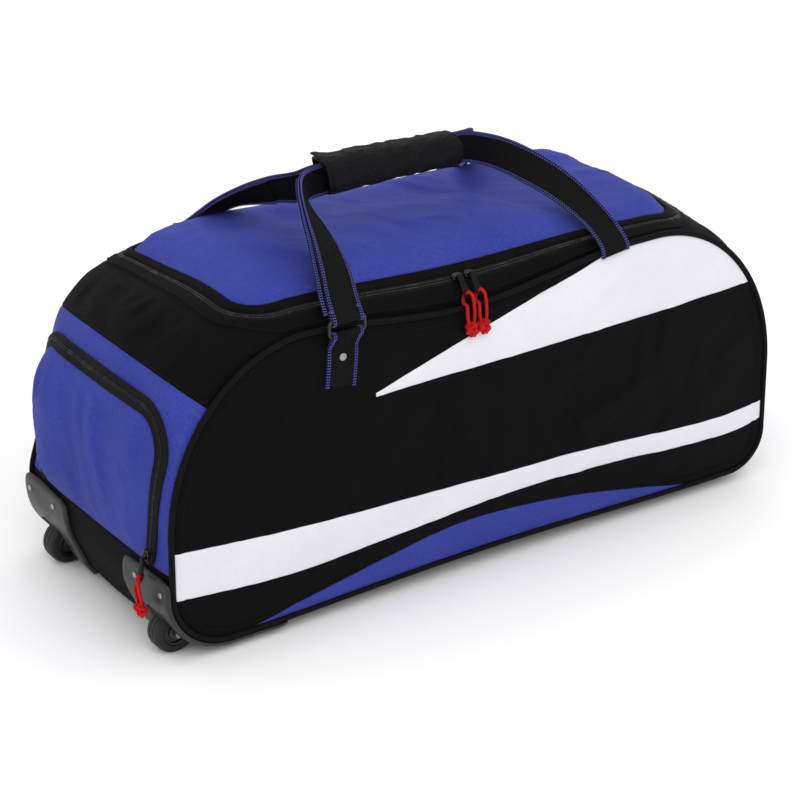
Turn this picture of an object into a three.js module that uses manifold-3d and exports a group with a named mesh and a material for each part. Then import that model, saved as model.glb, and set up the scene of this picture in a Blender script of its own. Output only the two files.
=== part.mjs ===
// Wheeled sports holdall standing on its base, in millimetres.
// X runs along the bag with the wheels at the negative end, Y across it, Z up from the floor.
import * as THREE from "three";
import { mergeVertices } from "three/addons/utils/BufferGeometryUtils.js";
import Module from "manifold-3d";

const wasm = await Module();
wasm.setup();

// Body
const HALF_LENGTH = 400;
const HALF_WIDTH = 157;
const SEAM_BOTTOM = 17;
const SEAM_TOP = 350;
const WHEEL_END_RADIUS = 70;
const FAR_END_RADIUS = 46;
const SHOULDER_START = 150;
const SHOULDER_LENGTH = 170;
const WALL = 2.4;
const SEAM_GAP = 0.3;
const TOP_SAG = 22;
const SAG_CENTRE = -20;
const SAG_SPAN = 225;
const BASE_ARCH = 7;
const CREST = { wheelEnd: 393, middle: 384, farEnd: 364 };
const SHOULDER_FULLNESS = 1.3;
const DOME_EDGE_SHARE = 0.45;
const DOME_EDGE_POWER = 14;
const DOME_CROWN_POWER = 1.8;
const END_BULGE = 5;
const BASE_BULGE = 27;
const CORNER_FIRMNESS = 5;
const SIDE_BULGE = 11;
const SIDE_CENTRE = 175;
const FLOOR_RISE = 10.5;
const FLOOR_RISE_FROM = 150;
const BASE_FACING = -0.2;
const PIPING_RADIUS = 3.4;
const PIPING_SIDES = 6;
const BOOT_LINE = 109;
const SHOULDER_LINE = 293;

// Lid and its zip
const LID = { left: -298, right: 308, near: -136, far: 137, corner: 66 };
const LID_BORDER = 16;
const CHAIN_WIDTH = 9;
const CHAIN_RAISE = 1.6;

// End pockets: the zip line's half width at foot and top, its height along the panel, and the bulge
const POCKET = { footHalf: 113, topHalf: 138, height: 167, corner: 44, foot: 3, dome: 10 };
const TAPE = { width: 16, thickness: 1.6 };
const POCKET_CHAIN = { width: 8, thickness: 2 };

// Zip pulls
const SLIDER = { length: 13, width: 10, height: 5 };
const TAB = { length: 28, width: 9, thickness: 2, hole: 5 };
const TAB_LIFT = { lid: 1, pocket: 0.6 };
const CORD_RADIUS = 1.6;
const EYE_CLEARANCE = 1.2;
const LID_PULLS = [-26, -10];
const LID_PULL_SINK = 0.6;
const WHEEL_PULL_HEIGHT = 16;
const FAR_PULL_HEIGHT = 88;

// Wheels and guards
const WHEEL = { x: -382, y: 118, radius: 25, width: 24, hub: 15 };
const AXLE_RADIUS = 4;
const WHEEL_SIDES = 16;
const TREAD_ROUND = { radial: 3, axial: 4 };
const WELL = { radius: 30, halfWidth: 16, wall: 3, reach: 17, lowest: 4, clearance: 0.5 };
const GUARD = { inner: 64, outer: 159, plate: 5, seat: 0.5, top: 102, foot: -258 };
const RIVET = { radius: 4.5, height: 1.8, sides: 8, level: 86, across: [92, 146] };

// Carry handle
const WEBBING = { width: 38, thickness: 1.8 };
const GRIP = { length: 190, height: 51, depth: 32, wall: 4.5, x: -22, y: 0, z: 441, slope: -0.03 };
const GRIP_SIDES = 16;
const GRIP_SQUARENESS = 0.6;
const STRAP_LEFT = -186;
const STRAP_RIGHT = 171;
const STRAP_SPACING = 4.4;
const PATCH = { foot: 284, top: 348, lean: 9 };
const RING = { width: 48, height: 20, bar: 4 };

const FABRIC_BLACK = { color: 0x1b1b1d, roughness: 0.85, metalness: 0 };
const FABRIC_BLUE = { color: 0x424a9b, roughness: 0.8, metalness: 0 };
const FABRIC_WHITE = { color: 0xe9e8ee, roughness: 0.75, metalness: 0 };
const PLASTIC_GREY = { color: 0x45474a, roughness: 0.5, metalness: 0 };
const PLASTIC_BLACK = { color: 0x202124, roughness: 0.45, metalness: 0 };
const METAL = { color: 0xb9bcc2, roughness: 0.3, metalness: 1 };
const RUBBER = { color: 0x2b2b2d, roughness: 0.8, metalness: 0 };
const CORD_RED = { color: 0xc81414, roughness: 0.7, metalness: 0 };

const bag = new THREE.Group();

// Small helpers for numbers, curves and solids
const clamp01 = (value) => Math.min(1, Math.max(0, value));
const clampOne = (value) => Math.min(1, Math.max(-1, value));
const mix = (from, to, share) => from + (to - from) * share;
const ease = (value) => clamp01(value) ** 2 * (3 - 2 * clamp01(value));
const vector = (x, y, z) => new THREE.Vector3(x, y, z);
const range = (count) => Array.from({ length: count }, (_, index) => index);
const WELD = 1e-3;

/** A closed solid from a geometry whose faces already meet edge to edge. */
function solidOf(geometry) {
  const bare = geometry.index ? geometry.toNonIndexed() : geometry.clone();
  bare.deleteAttribute("normal");
  bare.deleteAttribute("uv");
  const merged = mergeVertices(bare, WELD);
  const corners = merged.getIndex().array;
  const place = merged.getAttribute("position").array;
  const triangles = [];
  let volume = 0;
  for (let i = 0; i < corners.length; i += 3) {
    const [a, b, c] = [corners[i], corners[i + 1], corners[i + 2]];
    if (a === b || b === c || a === c) continue;
    const [p, q, r] = [a, b, c].map((corner) => vector(...place.slice(3 * corner, 3 * corner + 3)));
    volume += p.dot(q.cross(r));
    triangles.push(a, b, c);
  }
  if (volume < 0) triangles.reverse();
  const mesh = new wasm.Mesh({
    numProp: 3,
    vertProperties: new Float32Array(place),
    triVerts: new Uint32Array(triangles),
  });
  return new wasm.Manifold(mesh);
}

/**
 * A skin over a row of rings with equal point counts, capped at both ends or joined into a loop.
 * A twisting band is matched: both of its faces are split along the same diagonals.
 */
function loft(rings, { loop = false, matched = false } = {}) {
  const count = rings[0].length;
  const place = rings.flat().flatMap((point) => [point.x, point.y, point.z]);
  const faces = [];
  const quad = (a, b, c, d) => faces.push(a, b, c, a, c, d);
  for (let row = 0; row < rings.length - (loop ? 0 : 1); row++) {
    const here = row * count;
    const there = ((row + 1) % rings.length) * count;
    for (let i = 0; i < count; i++) {
      const next = (i + 1) % count;
      const corners = [here + i, there + i, there + next, here + next];
      if (matched && i >= count / 2) corners.push(corners.shift());
      quad(...corners);
    }
  }
  const last = (rings.length - 1) * count;
  for (let i = 0; !loop && i < count / 2 - 1; i++) {
    quad(i, i + 1, count - 2 - i, count - 1 - i);
    quad(last + count - 1 - i, last + count - 2 - i, last + i + 1, last + i);
  }
  const geometry = new THREE.BufferGeometry();
  geometry.setAttribute("position", new THREE.Float32BufferAttribute(place, 3));
  geometry.setIndex(faces);
  return solidOf(geometry);
}

/** A straight prism over an outline: "z" stands it on the plan, "y" lays it through the side view. */
function prism(shape, from, to, along = "z", curveSegments = 8) {
  const settings = { depth: to - from, bevelEnabled: false, curveSegments };
  const geometry = new THREE.ExtrudeGeometry(shape, settings);
  if (along === "y") {
    geometry.rotateX(Math.PI / 2);
    geometry.translate(0, to, 0);
  } else {
    geometry.translate(0, 0, from);
  }
  return solidOf(geometry);
}

/** A round bar between two points. */
function bar(from, to, radius, sides = 16) {
  const axis = to.clone().sub(from);
  const turn = new THREE.Quaternion().setFromUnitVectors(vector(0, 1, 0), axis.clone().normalize());
  const geometry = new THREE.CylinderGeometry(radius, radius, axis.length(), sides);
  geometry.applyQuaternion(turn);
  geometry.translate(...from.clone().add(to).multiplyScalar(0.5).toArray());
  return solidOf(geometry);
}

/** A turned shape about an axis along Y from a closed profile of radius and offset. */
function turned(profile, centre, segments = 32) {
  const points = [...profile, profile[0]].map(([radius, offset]) => new THREE.Vector2(radius, offset));
  const geometry = new THREE.LatheGeometry(points, segments);
  geometry.translate(centre.x, centre.y, centre.z);
  return solidOf(geometry);
}

/** A rounded rectangle on the plan. */
function roundedRectangle(left, right, near, far, corner) {
  const shape = new THREE.Shape();
  shape.moveTo(left + corner, near);
  shape.lineTo(right - corner, near);
  shape.absarc(right - corner, near + corner, corner, -Math.PI / 2, 0);
  shape.lineTo(right, far - corner);
  shape.absarc(right - corner, far - corner, corner, 0, Math.PI / 2);
  shape.lineTo(left + corner, far);
  shape.absarc(left + corner, far - corner, corner, Math.PI / 2, Math.PI);
  shape.lineTo(left, near + corner);
  shape.absarc(left + corner, near + corner, corner, Math.PI, Math.PI * 1.5);
  return shape;
}

/** Adds one finished solid to the bag under its name. */
function piece(name, solid, finish) {
  const mesh = solid.getMesh();
  const geometry = new THREE.BufferGeometry();
  const place = [];
  for (let i = 0; i < mesh.vertProperties.length; i += mesh.numProp) {
    place.push(...mesh.vertProperties.slice(i, i + 3));
  }
  geometry.setAttribute("position", new THREE.Float32BufferAttribute(place, 3));
  geometry.setIndex(Array.from(mesh.triVerts));
  geometry.computeVertexNormals();
  const node = new THREE.Mesh(geometry, new THREE.MeshStandardMaterial(finish));
  node.name = name;
  bag.add(node);
  return solid;
}

// Side seam outline, run once round from the wheel end along the base
const outline = new THREE.CurvePath();
const wheelCorner = { x: WHEEL_END_RADIUS - HALF_LENGTH, z: SEAM_BOTTOM + WHEEL_END_RADIUS };
const farCorner = { x: HALF_LENGTH - FAR_END_RADIUS, z: SEAM_BOTTOM + FAR_END_RADIUS };
const shoulderHeight = SEAM_TOP - SHOULDER_START;
const shoulderX = HALF_LENGTH - SHOULDER_LENGTH;
const flat = (x, z) => new THREE.Vector2(x, z);
const straight = (x0, z0, x1, z1) => new THREE.LineCurve(flat(x0, z0), flat(x1, z1));
const quarter = (x, z, radiusX, radiusZ, turns) => new THREE.EllipseCurve(
  x, z, radiusX, radiusZ, (turns * Math.PI) / 2, ((turns + 1) * Math.PI) / 2,
);
outline.curves = [
  straight(wheelCorner.x, SEAM_BOTTOM, farCorner.x, SEAM_BOTTOM),
  quarter(farCorner.x, farCorner.z, FAR_END_RADIUS, FAR_END_RADIUS, -1),
  straight(HALF_LENGTH, farCorner.z, HALF_LENGTH, SHOULDER_START),
  quarter(shoulderX, SHOULDER_START, SHOULDER_LENGTH, shoulderHeight, 0),
  straight(shoulderX, SEAM_TOP, -shoulderX, SEAM_TOP),
  quarter(-shoulderX, SHOULDER_START, SHOULDER_LENGTH, shoulderHeight, 1),
  straight(-HALF_LENGTH, SHOULDER_START, -HALF_LENGTH, wheelCorner.z),
  quarter(wheelCorner.x, wheelCorner.z, WHEEL_END_RADIUS, WHEEL_END_RADIUS, 2),
];

// Steps along each stretch of the outline, in the same order
const STRETCH_STEPS = [6, 3, 1, 5, 7, 5, 1, 4];
const runs = outline.getCurveLengths();
const outlineLength = runs[runs.length - 1];
const stations = STRETCH_STEPS.flatMap((steps, stretch) => {
  const from = stretch ? runs[stretch - 1] : 0;
  return range(steps).map((step) => mix(from, runs[stretch], step / steps) / outlineLength);
});

/** Share of a smooth hump that is one at its centre and nothing at its span. */
function hump(x, centre, span) {
  return (1 + Math.cos(Math.PI * clamp01(Math.abs(x - centre) / span))) / 2;
}

/** How far the seam dips at a place along the top. */
const sag = (x) => TOP_SAG * hump(x, SAG_CENTRE, SAG_SPAN);

/** Point and outward direction of the side seam at a share of its length. */
function seam(share) {
  const point = outline.getPoint(share);
  const run = outline.getTangent(share);
  const top = ease(-run.x);
  const base = ease(run.x);
  const z = point.y - sag(point.x) * top + BASE_ARCH * hump(point.x, 0, -wheelCorner.x) * base;
  return { x: point.x, z, outX: run.y, outZ: -run.x };
}

/** How far the middle of the gusset stands out from the seam. */
function bulge(at) {
  const along = at.x / shoulderX;
  const slope = (CREST.farEnd - CREST.wheelEnd) / 2;
  const bend = (CREST.farEnd + CREST.wheelEnd) / 2 - CREST.middle;
  const crest = CREST.middle + slope * clampOne(along) + bend * clampOne(along) ** 2;
  const top = crest - SEAM_TOP + sag(at.x);
  if (at.outZ > 0) return mix(END_BULGE, top, ease(SHOULDER_FULLNESS * at.outZ));
  return mix(END_BULGE, BASE_BULGE, ease(-at.outZ) ** CORNER_FIRMNESS);
}

/** Share of the bulge at a share of the half width: steep at the seam, gently crowned between. */
function dome(across) {
  const edge = Math.min(1, Math.abs(across));
  const steep = 1 - edge ** DOME_EDGE_POWER;
  const crown = 1 - edge ** DOME_CROWN_POWER;
  return DOME_EDGE_SHARE * steep + (1 - DOME_EDGE_SHARE) * crown;
}

/** Lowest height of the base at a place along the bag: flat at the far end, lifted at the wheels. */
function floorHeight(x) {
  return FLOOR_RISE * clamp01((FLOOR_RISE_FROM - x) / (FLOOR_RISE_FROM + HALF_LENGTH));
}

const GUSSET_HALF = HALF_WIDTH - PIPING_RADIUS - SEAM_GAP;

/** Outer face of the gusset that runs round the bag, before any thickness. */
function gussetFace(share, across) {
  const at = seam((share + 1) % 1);
  const out = bulge(at) * dome(across);
  const z = at.z + at.outZ * out;
  const lowest = at.outZ < BASE_FACING ? floorHeight(at.x) : 0;
  return vector(at.x + at.outX * out, across * GUSSET_HALF, Math.max(z, lowest));
}

const NORMAL_STEP = 2e-3;

/** Point on the gusset moved out along its own normal. */
function gussetPoint(share, across, offset) {
  const edge = Math.min(1 - NORMAL_STEP, Math.max(NORMAL_STEP - 1, across));
  const along = gussetFace(share + NORMAL_STEP, edge).sub(gussetFace(share - NORMAL_STEP, edge));
  const over = gussetFace(share, edge + NORMAL_STEP).sub(gussetFace(share, edge - NORMAL_STEP));
  return gussetFace(share, across).addScaledVector(along.cross(over).normalize(), -offset);
}

// Ends of the bag, as runs of the outline
const END_RANGE = { wheel: [runs[4], runs[6]], far: [runs[1], runs[3]] };
const HALVINGS = 40;

/** Share of the seam's length where an end of the bag reaches a height. */
function shareAtHeight(end, z) {
  let [low, high] = END_RANGE[end].map((run) => run / outlineLength);
  const rising = end === "far";
  for (let step = 0; step < HALVINGS; step++) {
    const middle = (low + high) / 2;
    if (seam(middle).z < z === rising) low = middle;
    else high = middle;
  }
  return (low + high) / 2;
}

const ACROSS_STEPS = 8;
const acrossRows = range(ACROSS_STEPS + 1).map((row) => {
  const quarterTurns = mix(-1, 1, row / ACROSS_STEPS);
  return Math.sin((Math.PI / 2) * quarterTurns);
});
const STATION_MARGIN = 4e-3;

/** Outline stations strictly between two shares, which may run past the start of the outline. */
function stationsBetween(from, to) {
  const twice = [...stations, ...stations.map((share) => share + 1)];
  return twice.filter((share) => share > from + STATION_MARGIN && share < to - STATION_MARGIN);
}

/** Shell of the gusset from one share of the outline to another, between two offsets from its face. */
function gussetShell(from, to, inner, outer) {
  const gap = SEAM_GAP / 2 / outlineLength;
  const ring = (share) => [
    ...acrossRows.map((value) => gussetPoint(share, value, outer)),
    ...acrossRows.toReversed().map((value) => gussetPoint(share, value, inner)),
  ];
  return loft([from + gap, ...stationsBetween(from, to), to - gap].map(ring));
}

// Gusset parts: base with its boot, end panels, top with its lid
const FAR = 600;
const LID_CORNER_STEPS = 3;
const bothEnds = (z) => ({ wheel: shareAtHeight("wheel", z), far: shareAtHeight("far", z) });
const boot = bothEnds(BOOT_LINE);
const shoulder = bothEnds(SHOULDER_LINE);
const lidShape = (grow) => roundedRectangle(
  LID.left - grow, LID.right + grow, LID.near - grow, LID.far + grow, LID.corner + grow,
);
const lidPrism = (grow) => prism(lidShape(grow), 0, FAR, "z", LID_CORNER_STEPS);
const topShell = gussetShell(shoulder.far, shoulder.wheel, -WALL, 0);
const chainShell = gussetShell(shoulder.far, shoulder.wheel, -WALL, CHAIN_RAISE);
const halfChain = CHAIN_WIDTH / 2;
const chainPrism = lidPrism(halfChain).subtract(lidPrism(-halfChain));
const borderPrism = lidPrism(-halfChain - SEAM_GAP).subtract(lidPrism(-halfChain - LID_BORDER));
piece("top_surround", topShell.subtract(lidPrism(halfChain + SEAM_GAP)), FABRIC_BLACK);
piece("lid_zip_chain", chainShell.intersect(chainPrism), PLASTIC_BLACK);
piece("lid_border", topShell.intersect(borderPrism), FABRIC_BLACK);
piece("lid_panel", topShell.intersect(lidPrism(-halfChain - LID_BORDER - SEAM_GAP)), FABRIC_BLUE);
piece("end_panel_wheel", gussetShell(shoulder.wheel, boot.wheel, -WALL, 0), FABRIC_BLUE);
piece("end_panel_far", gussetShell(boot.far, shoulder.far, -WALL, 0), FABRIC_BLUE);

// Wheel wells are cut out of the base
const envelope = prism(new THREE.Shape(stations.map((share) => {
  const at = seam(share);
  const z = Math.max(at.z + at.outZ * WELL.reach, WELL.lowest);
  return new THREE.Vector2(at.x + at.outX * WELL.reach, z);
})), -FAR, FAR, "y");
const wheelDrum = (side, radius, halfWidth) => bar(
  vector(WHEEL.x, side * WHEEL.y - halfWidth, WHEEL.radius),
  vector(WHEEL.x, side * WHEEL.y + halfWidth, WHEEL.radius),
  radius,
  WHEEL_SIDES,
);
const wellOutside = WELL.wall + WELL.clearance;
let base = gussetShell(boot.wheel, 1 + boot.far, -WALL, 0);
for (const side of [-1, 1]) {
  base = base.subtract(wheelDrum(side, WELL.radius + wellOutside, WELL.halfWidth + wellOutside));
}
piece("base", base, FABRIC_BLACK);

// Side panels, sewn from colour blocks
const PANEL_RINGS = [0.25, 0.7, 1];
const PANEL_INSET = PIPING_RADIUS + SEAM_GAP;
const panelEdge = stations.map((station) => {
  const at = seam(station);
  return new THREE.Vector2(at.x - at.outX * PANEL_INSET, at.z - at.outZ * PANEL_INSET - SIDE_CENTRE);
});

/** How far out the side panel lies at a share of the way from its middle to its seam. */
const panelReach = (share) => HALF_WIDTH + WALL / 2 + SIDE_BULGE * (1 - share ** 3);

/** Ring of the side panel at a share of the way from its middle to its seam. */
function panelRing(side, share, depth) {
  const out = side * (panelReach(share) - depth);
  return panelEdge.map((edge) => vector(edge.x * share, out, SIDE_CENTRE + edge.y * share));
}

/** Share of the way from the panel's middle to its seam at a place in the side view. */
function panelShare(x, z) {
  const spot = new THREE.Vector2(x, z - SIDE_CENTRE);
  const shares = panelEdge.map((from, index) => {
    const to = panelEdge[(index + 1) % panelEdge.length];
    const within = from.cross(spot) >= 0 && spot.cross(to) >= 0 && from.dot(spot) > 0;
    return within ? spot.cross(to.clone().sub(from)) / from.cross(to) : 0;
  });
  return Math.max(...shares);
}

/** Point on the side panel moved outward. */
function panelPoint(side, x, z, offset) {
  return vector(x, side * (panelReach(panelShare(x, z)) + offset), z);
}

/** Outline in the side view: one smooth edge, then straight corners. */
function edgeShape(smooth, corners, lift = 0) {
  const shape = new THREE.Shape();
  shape.moveTo(smooth[0][0], smooth[0][1] + lift);
  shape.splineThru(smooth.slice(1).map(([x, z]) => new THREE.Vector2(x, z + lift)));
  corners.forEach(([x, z]) => shape.lineTo(x, z));
  return shape;
}

// Edges of the colour blocks in the side view, as rows of x and z
const BEYOND = 460;
const WHITE_TIP = [-150, 261];
const WHITE_TOP = [206, 356];
const WHITE_LEAN = 20;
const WHITE_FOOT = 260;
const STRIPE_TOP = [[-BEYOND, 141], [-242, 129], [-6, 119], [147, 113], [337, 98], [BEYOND, 106]];
const STRIPE_FOOT = [[-BEYOND, 84], [-242, 76], [-6, 89], [147, 87], [339, 73], [400, 78], [BEYOND, 90]];
const BLUE_TOP = [[-330, 8], [-179, 42], [-60, 69], [22, 69], [149, 52], [325, 8]];

const EDGE_STEPS = 2;
const sidePrism = (shape) => prism(shape, -FAR, FAR, "y", EDGE_STEPS);
const whiteShape = new THREE.Shape([
  flat(...WHITE_TIP),
  flat(...WHITE_TOP),
  flat(WHITE_TOP[0] + WHITE_LEAN, BEYOND),
  flat(BEYOND, BEYOND),
  flat(BEYOND, WHITE_FOOT),
]);
const shifted = (solid, x, z) => solid.add(solid.translate([x, 0, z]));
const widened = (solid) => shifted(shifted(shifted(solid, 0, SEAM_GAP), 0, -SEAM_GAP), -SEAM_GAP, 0);
const whiteSolid = sidePrism(whiteShape);
const closing = (edge, z) => [[edge[edge.length - 1][0], z], [edge[0][0], z]];
const blueSolid = sidePrism(edgeShape(BLUE_TOP, closing(BLUE_TOP, -BEYOND)));
const underTop = (lift) => sidePrism(edgeShape(STRIPE_TOP, closing(STRIPE_TOP, -BEYOND), lift));
const overFoot = (lift) => sidePrism(edgeShape(STRIPE_FOOT, closing(STRIPE_FOOT, BEYOND), lift));
const SIDES = [[-1, "near"], [1, "back"]];

for (const [side, label] of SIDES) {
  const panel = loft([
    ...PANEL_RINGS.map((share) => panelRing(side, share, 0)),
    ...PANEL_RINGS.toReversed().map((share) => panelRing(side, share, WALL)),
  ]);
  const upper = panel.subtract(underTop(SEAM_GAP)).subtract(widened(whiteSolid));
  const stripe = panel.intersect(underTop(0)).intersect(overFoot(0));
  const lower = panel.subtract(overFoot(-SEAM_GAP)).subtract(widened(blueSolid));
  piece(`side_upper_${label}`, upper, FABRIC_BLACK);
  piece(`side_white_${label}`, panel.intersect(whiteSolid), FABRIC_WHITE);
  piece(`side_stripe_white_${label}`, stripe, FABRIC_WHITE);
  piece(`side_lower_${label}`, lower, FABRIC_BLACK);
  piece(`side_blue_${label}`, panel.intersect(blueSolid), FABRIC_BLUE);
  const turns = range(PIPING_SIDES).map((step) => (step / PIPING_SIDES) * Math.PI * 2);
  const rings = stations.map((share) => {
    const at = seam(share);
    return turns.map((turn) => vector(
      at.x + at.outX * PIPING_RADIUS * Math.cos(turn),
      side * HALF_WIDTH + PIPING_RADIUS * Math.sin(turn),
      at.z + at.outZ * PIPING_RADIUS * Math.cos(turn),
    ));
  });
  piece(`piping_${label}`, loft(rings, { loop: true }), FABRIC_BLACK);
}

/** Point on an end, from its height above the boot, distance across and offset outward. */
function endPoint(end, height, across, offset) {
  const run = (end === "far" ? 1 : -1) * (height / outlineLength);
  return gussetPoint(boot[end] + run, across / GUSSET_HALF, offset);
}

/** Share of the pocket's widening that is reached at a height. */
const pocketFlare = (height) => Math.sqrt(clamp01(height / POCKET.height));

const POCKET_STEPS = { side: 5, corner: 4, foot: 5 };
const POCKET_LEVEL_PARTS = [0.5, 0.2];

/** Zip line of an end pocket, up one side, over the top and down the other, moved inward by an inset. */
function pocketLine(inset) {
  const half = (height) => mix(POCKET.footHalf, POCKET.topHalf, pocketFlare(height)) - inset;
  const corner = POCKET.corner - inset;
  const top = POCKET.height - inset;
  const side = range(POCKET_STEPS.side).map((step) => {
    const height = mix(POCKET.foot, top - corner, step / POCKET_STEPS.side);
    return [-half(height), height];
  });
  const corners = range(POCKET_STEPS.corner + 1).map((step) => {
    const angle = (step / POCKET_STEPS.corner) * (Math.PI / 2);
    const across = -half(top - corner) + corner * (1 - Math.cos(angle));
    return [across, top - corner + corner * Math.sin(angle)];
  });
  const level = POCKET_LEVEL_PARTS.map((part) => [-half(top) * part, top]);
  const left = [...side, ...corners, ...level];
  return [...left, ...left.toReversed().map(([across, height]) => [-across, height])];
}

/** Band along a pocket's zip line between two insets and two offsets from the end. */
function pocketBand(end, inner, outer, low, high) {
  const lines = [outer, inner].map((inset) => pocketLine(inset));
  return loft(lines[0].map((_, index) => [
    ...lines.map((line) => endPoint(end, line[index][1], line[index][0], high)),
    ...lines.toReversed().map((line) => endPoint(end, line[index][1], line[index][0], low)),
  ]));
}

const POCKET_SHARES = [0.3, 0.68, 1];
const TAPE_LOW = { wheel: 1.3, far: 0.6 };
const tapeTop = (end) => TAPE_LOW[end] + TAPE.thickness;
const chainLow = (end) => tapeTop(end) + 2 * SEAM_GAP;
const chainTop = (end) => chainLow(end) + POCKET_CHAIN.thickness;

for (const end of ["wheel", "far"]) {
  const zipLine = pocketLine(TAPE.width / 2 + SEAM_GAP);
  const [corner, height] = zipLine[zipLine.length - 1];
  const footLine = range(POCKET_STEPS.foot).map((step) => {
    const share = (step + 1) / (POCKET_STEPS.foot + 1);
    return [mix(corner, -corner, share), height];
  });
  const rim = [...zipLine, ...footLine];
  const ring = (share, depth) => rim.map(([across, level]) => endPoint(
    end,
    mix(POCKET.height / 2, level, share),
    across * share,
    tapeTop(end) + POCKET.dome * (1 - share ** 3) - depth,
  ));
  piece(`pocket_panel_${end}`, loft([
    ...POCKET_SHARES.map((share) => ring(share, 0)),
    ...POCKET_SHARES.toReversed().map((share) => ring(share, TAPE.thickness)),
  ]), FABRIC_BLUE);
  const tape = TAPE.width / 2;
  const chain = POCKET_CHAIN.width / 2;
  const tapeBand = pocketBand(end, tape, -tape, TAPE_LOW[end], tapeTop(end));
  const chainBand = pocketBand(end, chain, -chain, chainLow(end), chainTop(end));
  piece(`pocket_tape_${end}`, tapeBand, FABRIC_BLACK);
  piece(`pocket_chain_${end}`, chainBand, PLASTIC_BLACK);
}

// Wheels, axles and moulded guards
const wheelFoot = shareAtHeight("wheel", GUARD.top);
const guardEnd = 1 + (GUARD.foot - wheelCorner.x) / outlineLength;
const guardRows = acrossRows.filter((value) => value > 0).map((value) => value * GUSSET_HALF);

/** Point on a guard, which follows the gusset and steps out over the piping. */
function guardPoint(share, y, offset) {
  const at = seam(share % 1);
  const across = Math.min(1, Math.abs(y) / GUSSET_HALF);
  const lift = GUARD.seat + offset;
  const out = Math.max(bulge(at) * dome(across), PIPING_RADIUS + SEAM_GAP) + lift;
  const lowest = at.outZ < BASE_FACING ? floorHeight(at.x) - lift : 0;
  return vector(at.x + at.outX * out, y, Math.max(at.z + at.outZ * out, lowest));
}

for (const [side, label] of SIDES) {
  const reach = [GUARD.inner, ...guardRows.filter((y) => y > GUARD.inner), GUARD.outer];
  const rows = reach.map((y) => side * y).toSorted((first, second) => second - first);
  const shares = [wheelFoot, ...stationsBetween(wheelFoot, guardEnd), guardEnd];
  const plate = loft(shares.map((share) => [
    ...rows.map((y) => guardPoint(share, y, GUARD.plate)),
    ...rows.toReversed().map((y) => guardPoint(share, y, 0)),
  ]));
  const drum = wheelDrum(side, WELL.radius + WELL.wall, WELL.halfWidth + WELL.wall);
  const hollow = wheelDrum(side, WELL.radius, WELL.halfWidth);
  const hole = wheelDrum(side, AXLE_RADIUS + SEAM_GAP, WELL.halfWidth + 2 * WELL.wall);
  const guard = plate.add(drum.intersect(envelope)).subtract(hollow).subtract(hole);
  piece(`guard_${label}`, guard, PLASTIC_GREY);
  const centre = vector(WHEEL.x, side * WHEEL.y, WHEEL.radius);
  const halfTread = WHEEL.width / 2;
  const flatTread = halfTread - TREAD_ROUND.axial;
  const wallRadius = WHEEL.radius - TREAD_ROUND.radial;
  const tyre = [
    [WHEEL.hub, -halfTread],
    [wallRadius, -halfTread],
    [WHEEL.radius, -flatTread],
    [WHEEL.radius, flatTread],
    [wallRadius, halfTread],
    [WHEEL.hub, halfTread],
  ];
  piece(`wheel_tyre_${label}`, turned(tyre, centre, WHEEL_SIDES), RUBBER);
  const rim = WHEEL.hub - SEAM_GAP;
  const hub = [
    [AXLE_RADIUS + SEAM_GAP, -halfTread],
    [rim, -halfTread],
    [rim, halfTread],
    [AXLE_RADIUS + SEAM_GAP, halfTread],
  ];
  piece(`wheel_hub_${label}`, turned(hub, centre, WHEEL_SIDES), PLASTIC_GREY);
  piece(`wheel_axle_${label}`, wheelDrum(side, AXLE_RADIUS, WELL.halfWidth + WELL.wall), METAL);
}

// Guard rivets
for (const [side, label] of SIDES) {
  const share = shareAtHeight("wheel", RIVET.level);
  RIVET.across.forEach((across, index) => {
    const seat = guardPoint(share, side * across, GUARD.plate + SEAM_GAP);
    const head = guardPoint(share, side * across, GUARD.plate + SEAM_GAP + RIVET.height);
    const rivet = bar(seat, head, RIVET.radius, RIVET.sides);
    piece(`guard_rivet_${label}_${index + 1}`, rivet, METAL);
  });
}

// Carry handle: webbing straps through one padded wrap

/** Height of the padded wrap's middle at a place along it. */
const gripHeight = (x) => GRIP.z + GRIP.slope * (x - GRIP.x);

// Each row of a route is x, distance out from the middle, z, and how far the webbing has turned upright
const HANDLE_RIGHT = [
  [STRAP_RIGHT, 162.4, 341, 0],
  [170, 161.3, 354, 0],
  [167, 143, 371, 0.03],
  [161, 116, 387, 0.12],
  [148, 88, 405, 0.3],
  [129, 57, 421, 0.55],
  [108, 28, 433, 0.8],
  [92, 10, 437, 0.95],
  [76, STRAP_SPACING / 2, gripHeight(76), 1],
  [GRIP.x, STRAP_SPACING / 2, GRIP.z, 1],
  [-118, STRAP_SPACING / 2, gripHeight(-118), 1],
];
const HANDLE_LEFT = {
  near: [
    [-134, 10, 445, 0.95],
    [-150, 30, 447, 0.8],
    [-161, 56, 442, 0.6],
    [-166, 80, 430, 0.42],
    [-169, 105, 413, 0.25],
    [-175, 130, 396, 0.1],
    [-182, 152, 377, 0.02],
    [STRAP_LEFT, 163, 364, 0],
    [STRAP_LEFT, 164, 350, 0],
  ],
  back: [
    [-132, 10, 437, 0.95],
    [-150, 34, 427, 0.75],
    [-165, 62, 414, 0.55],
    [-175, 90, 399, 0.35],
    [-180, 118, 384, 0.18],
    [-184, 143, 372, 0.06],
    [STRAP_LEFT, 163, 364, 0],
    [STRAP_LEFT, 164, 350, 0],
  ],
};

/** Webbing section at a point, square to its route. */
function webbingSection(centre, run, wide) {
  const across = wide.clone().addScaledVector(run, -wide.dot(run)).normalize();
  const through = across.clone().cross(run);
  const corner = (a, b) => centre.clone()
    .addScaledVector(across, (a * WEBBING.width) / 2)
    .addScaledVector(through, (b * WEBBING.thickness) / 2);
  return [corner(-1, -1), corner(1, -1), corner(1, 1), corner(-1, 1)];
}

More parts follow.
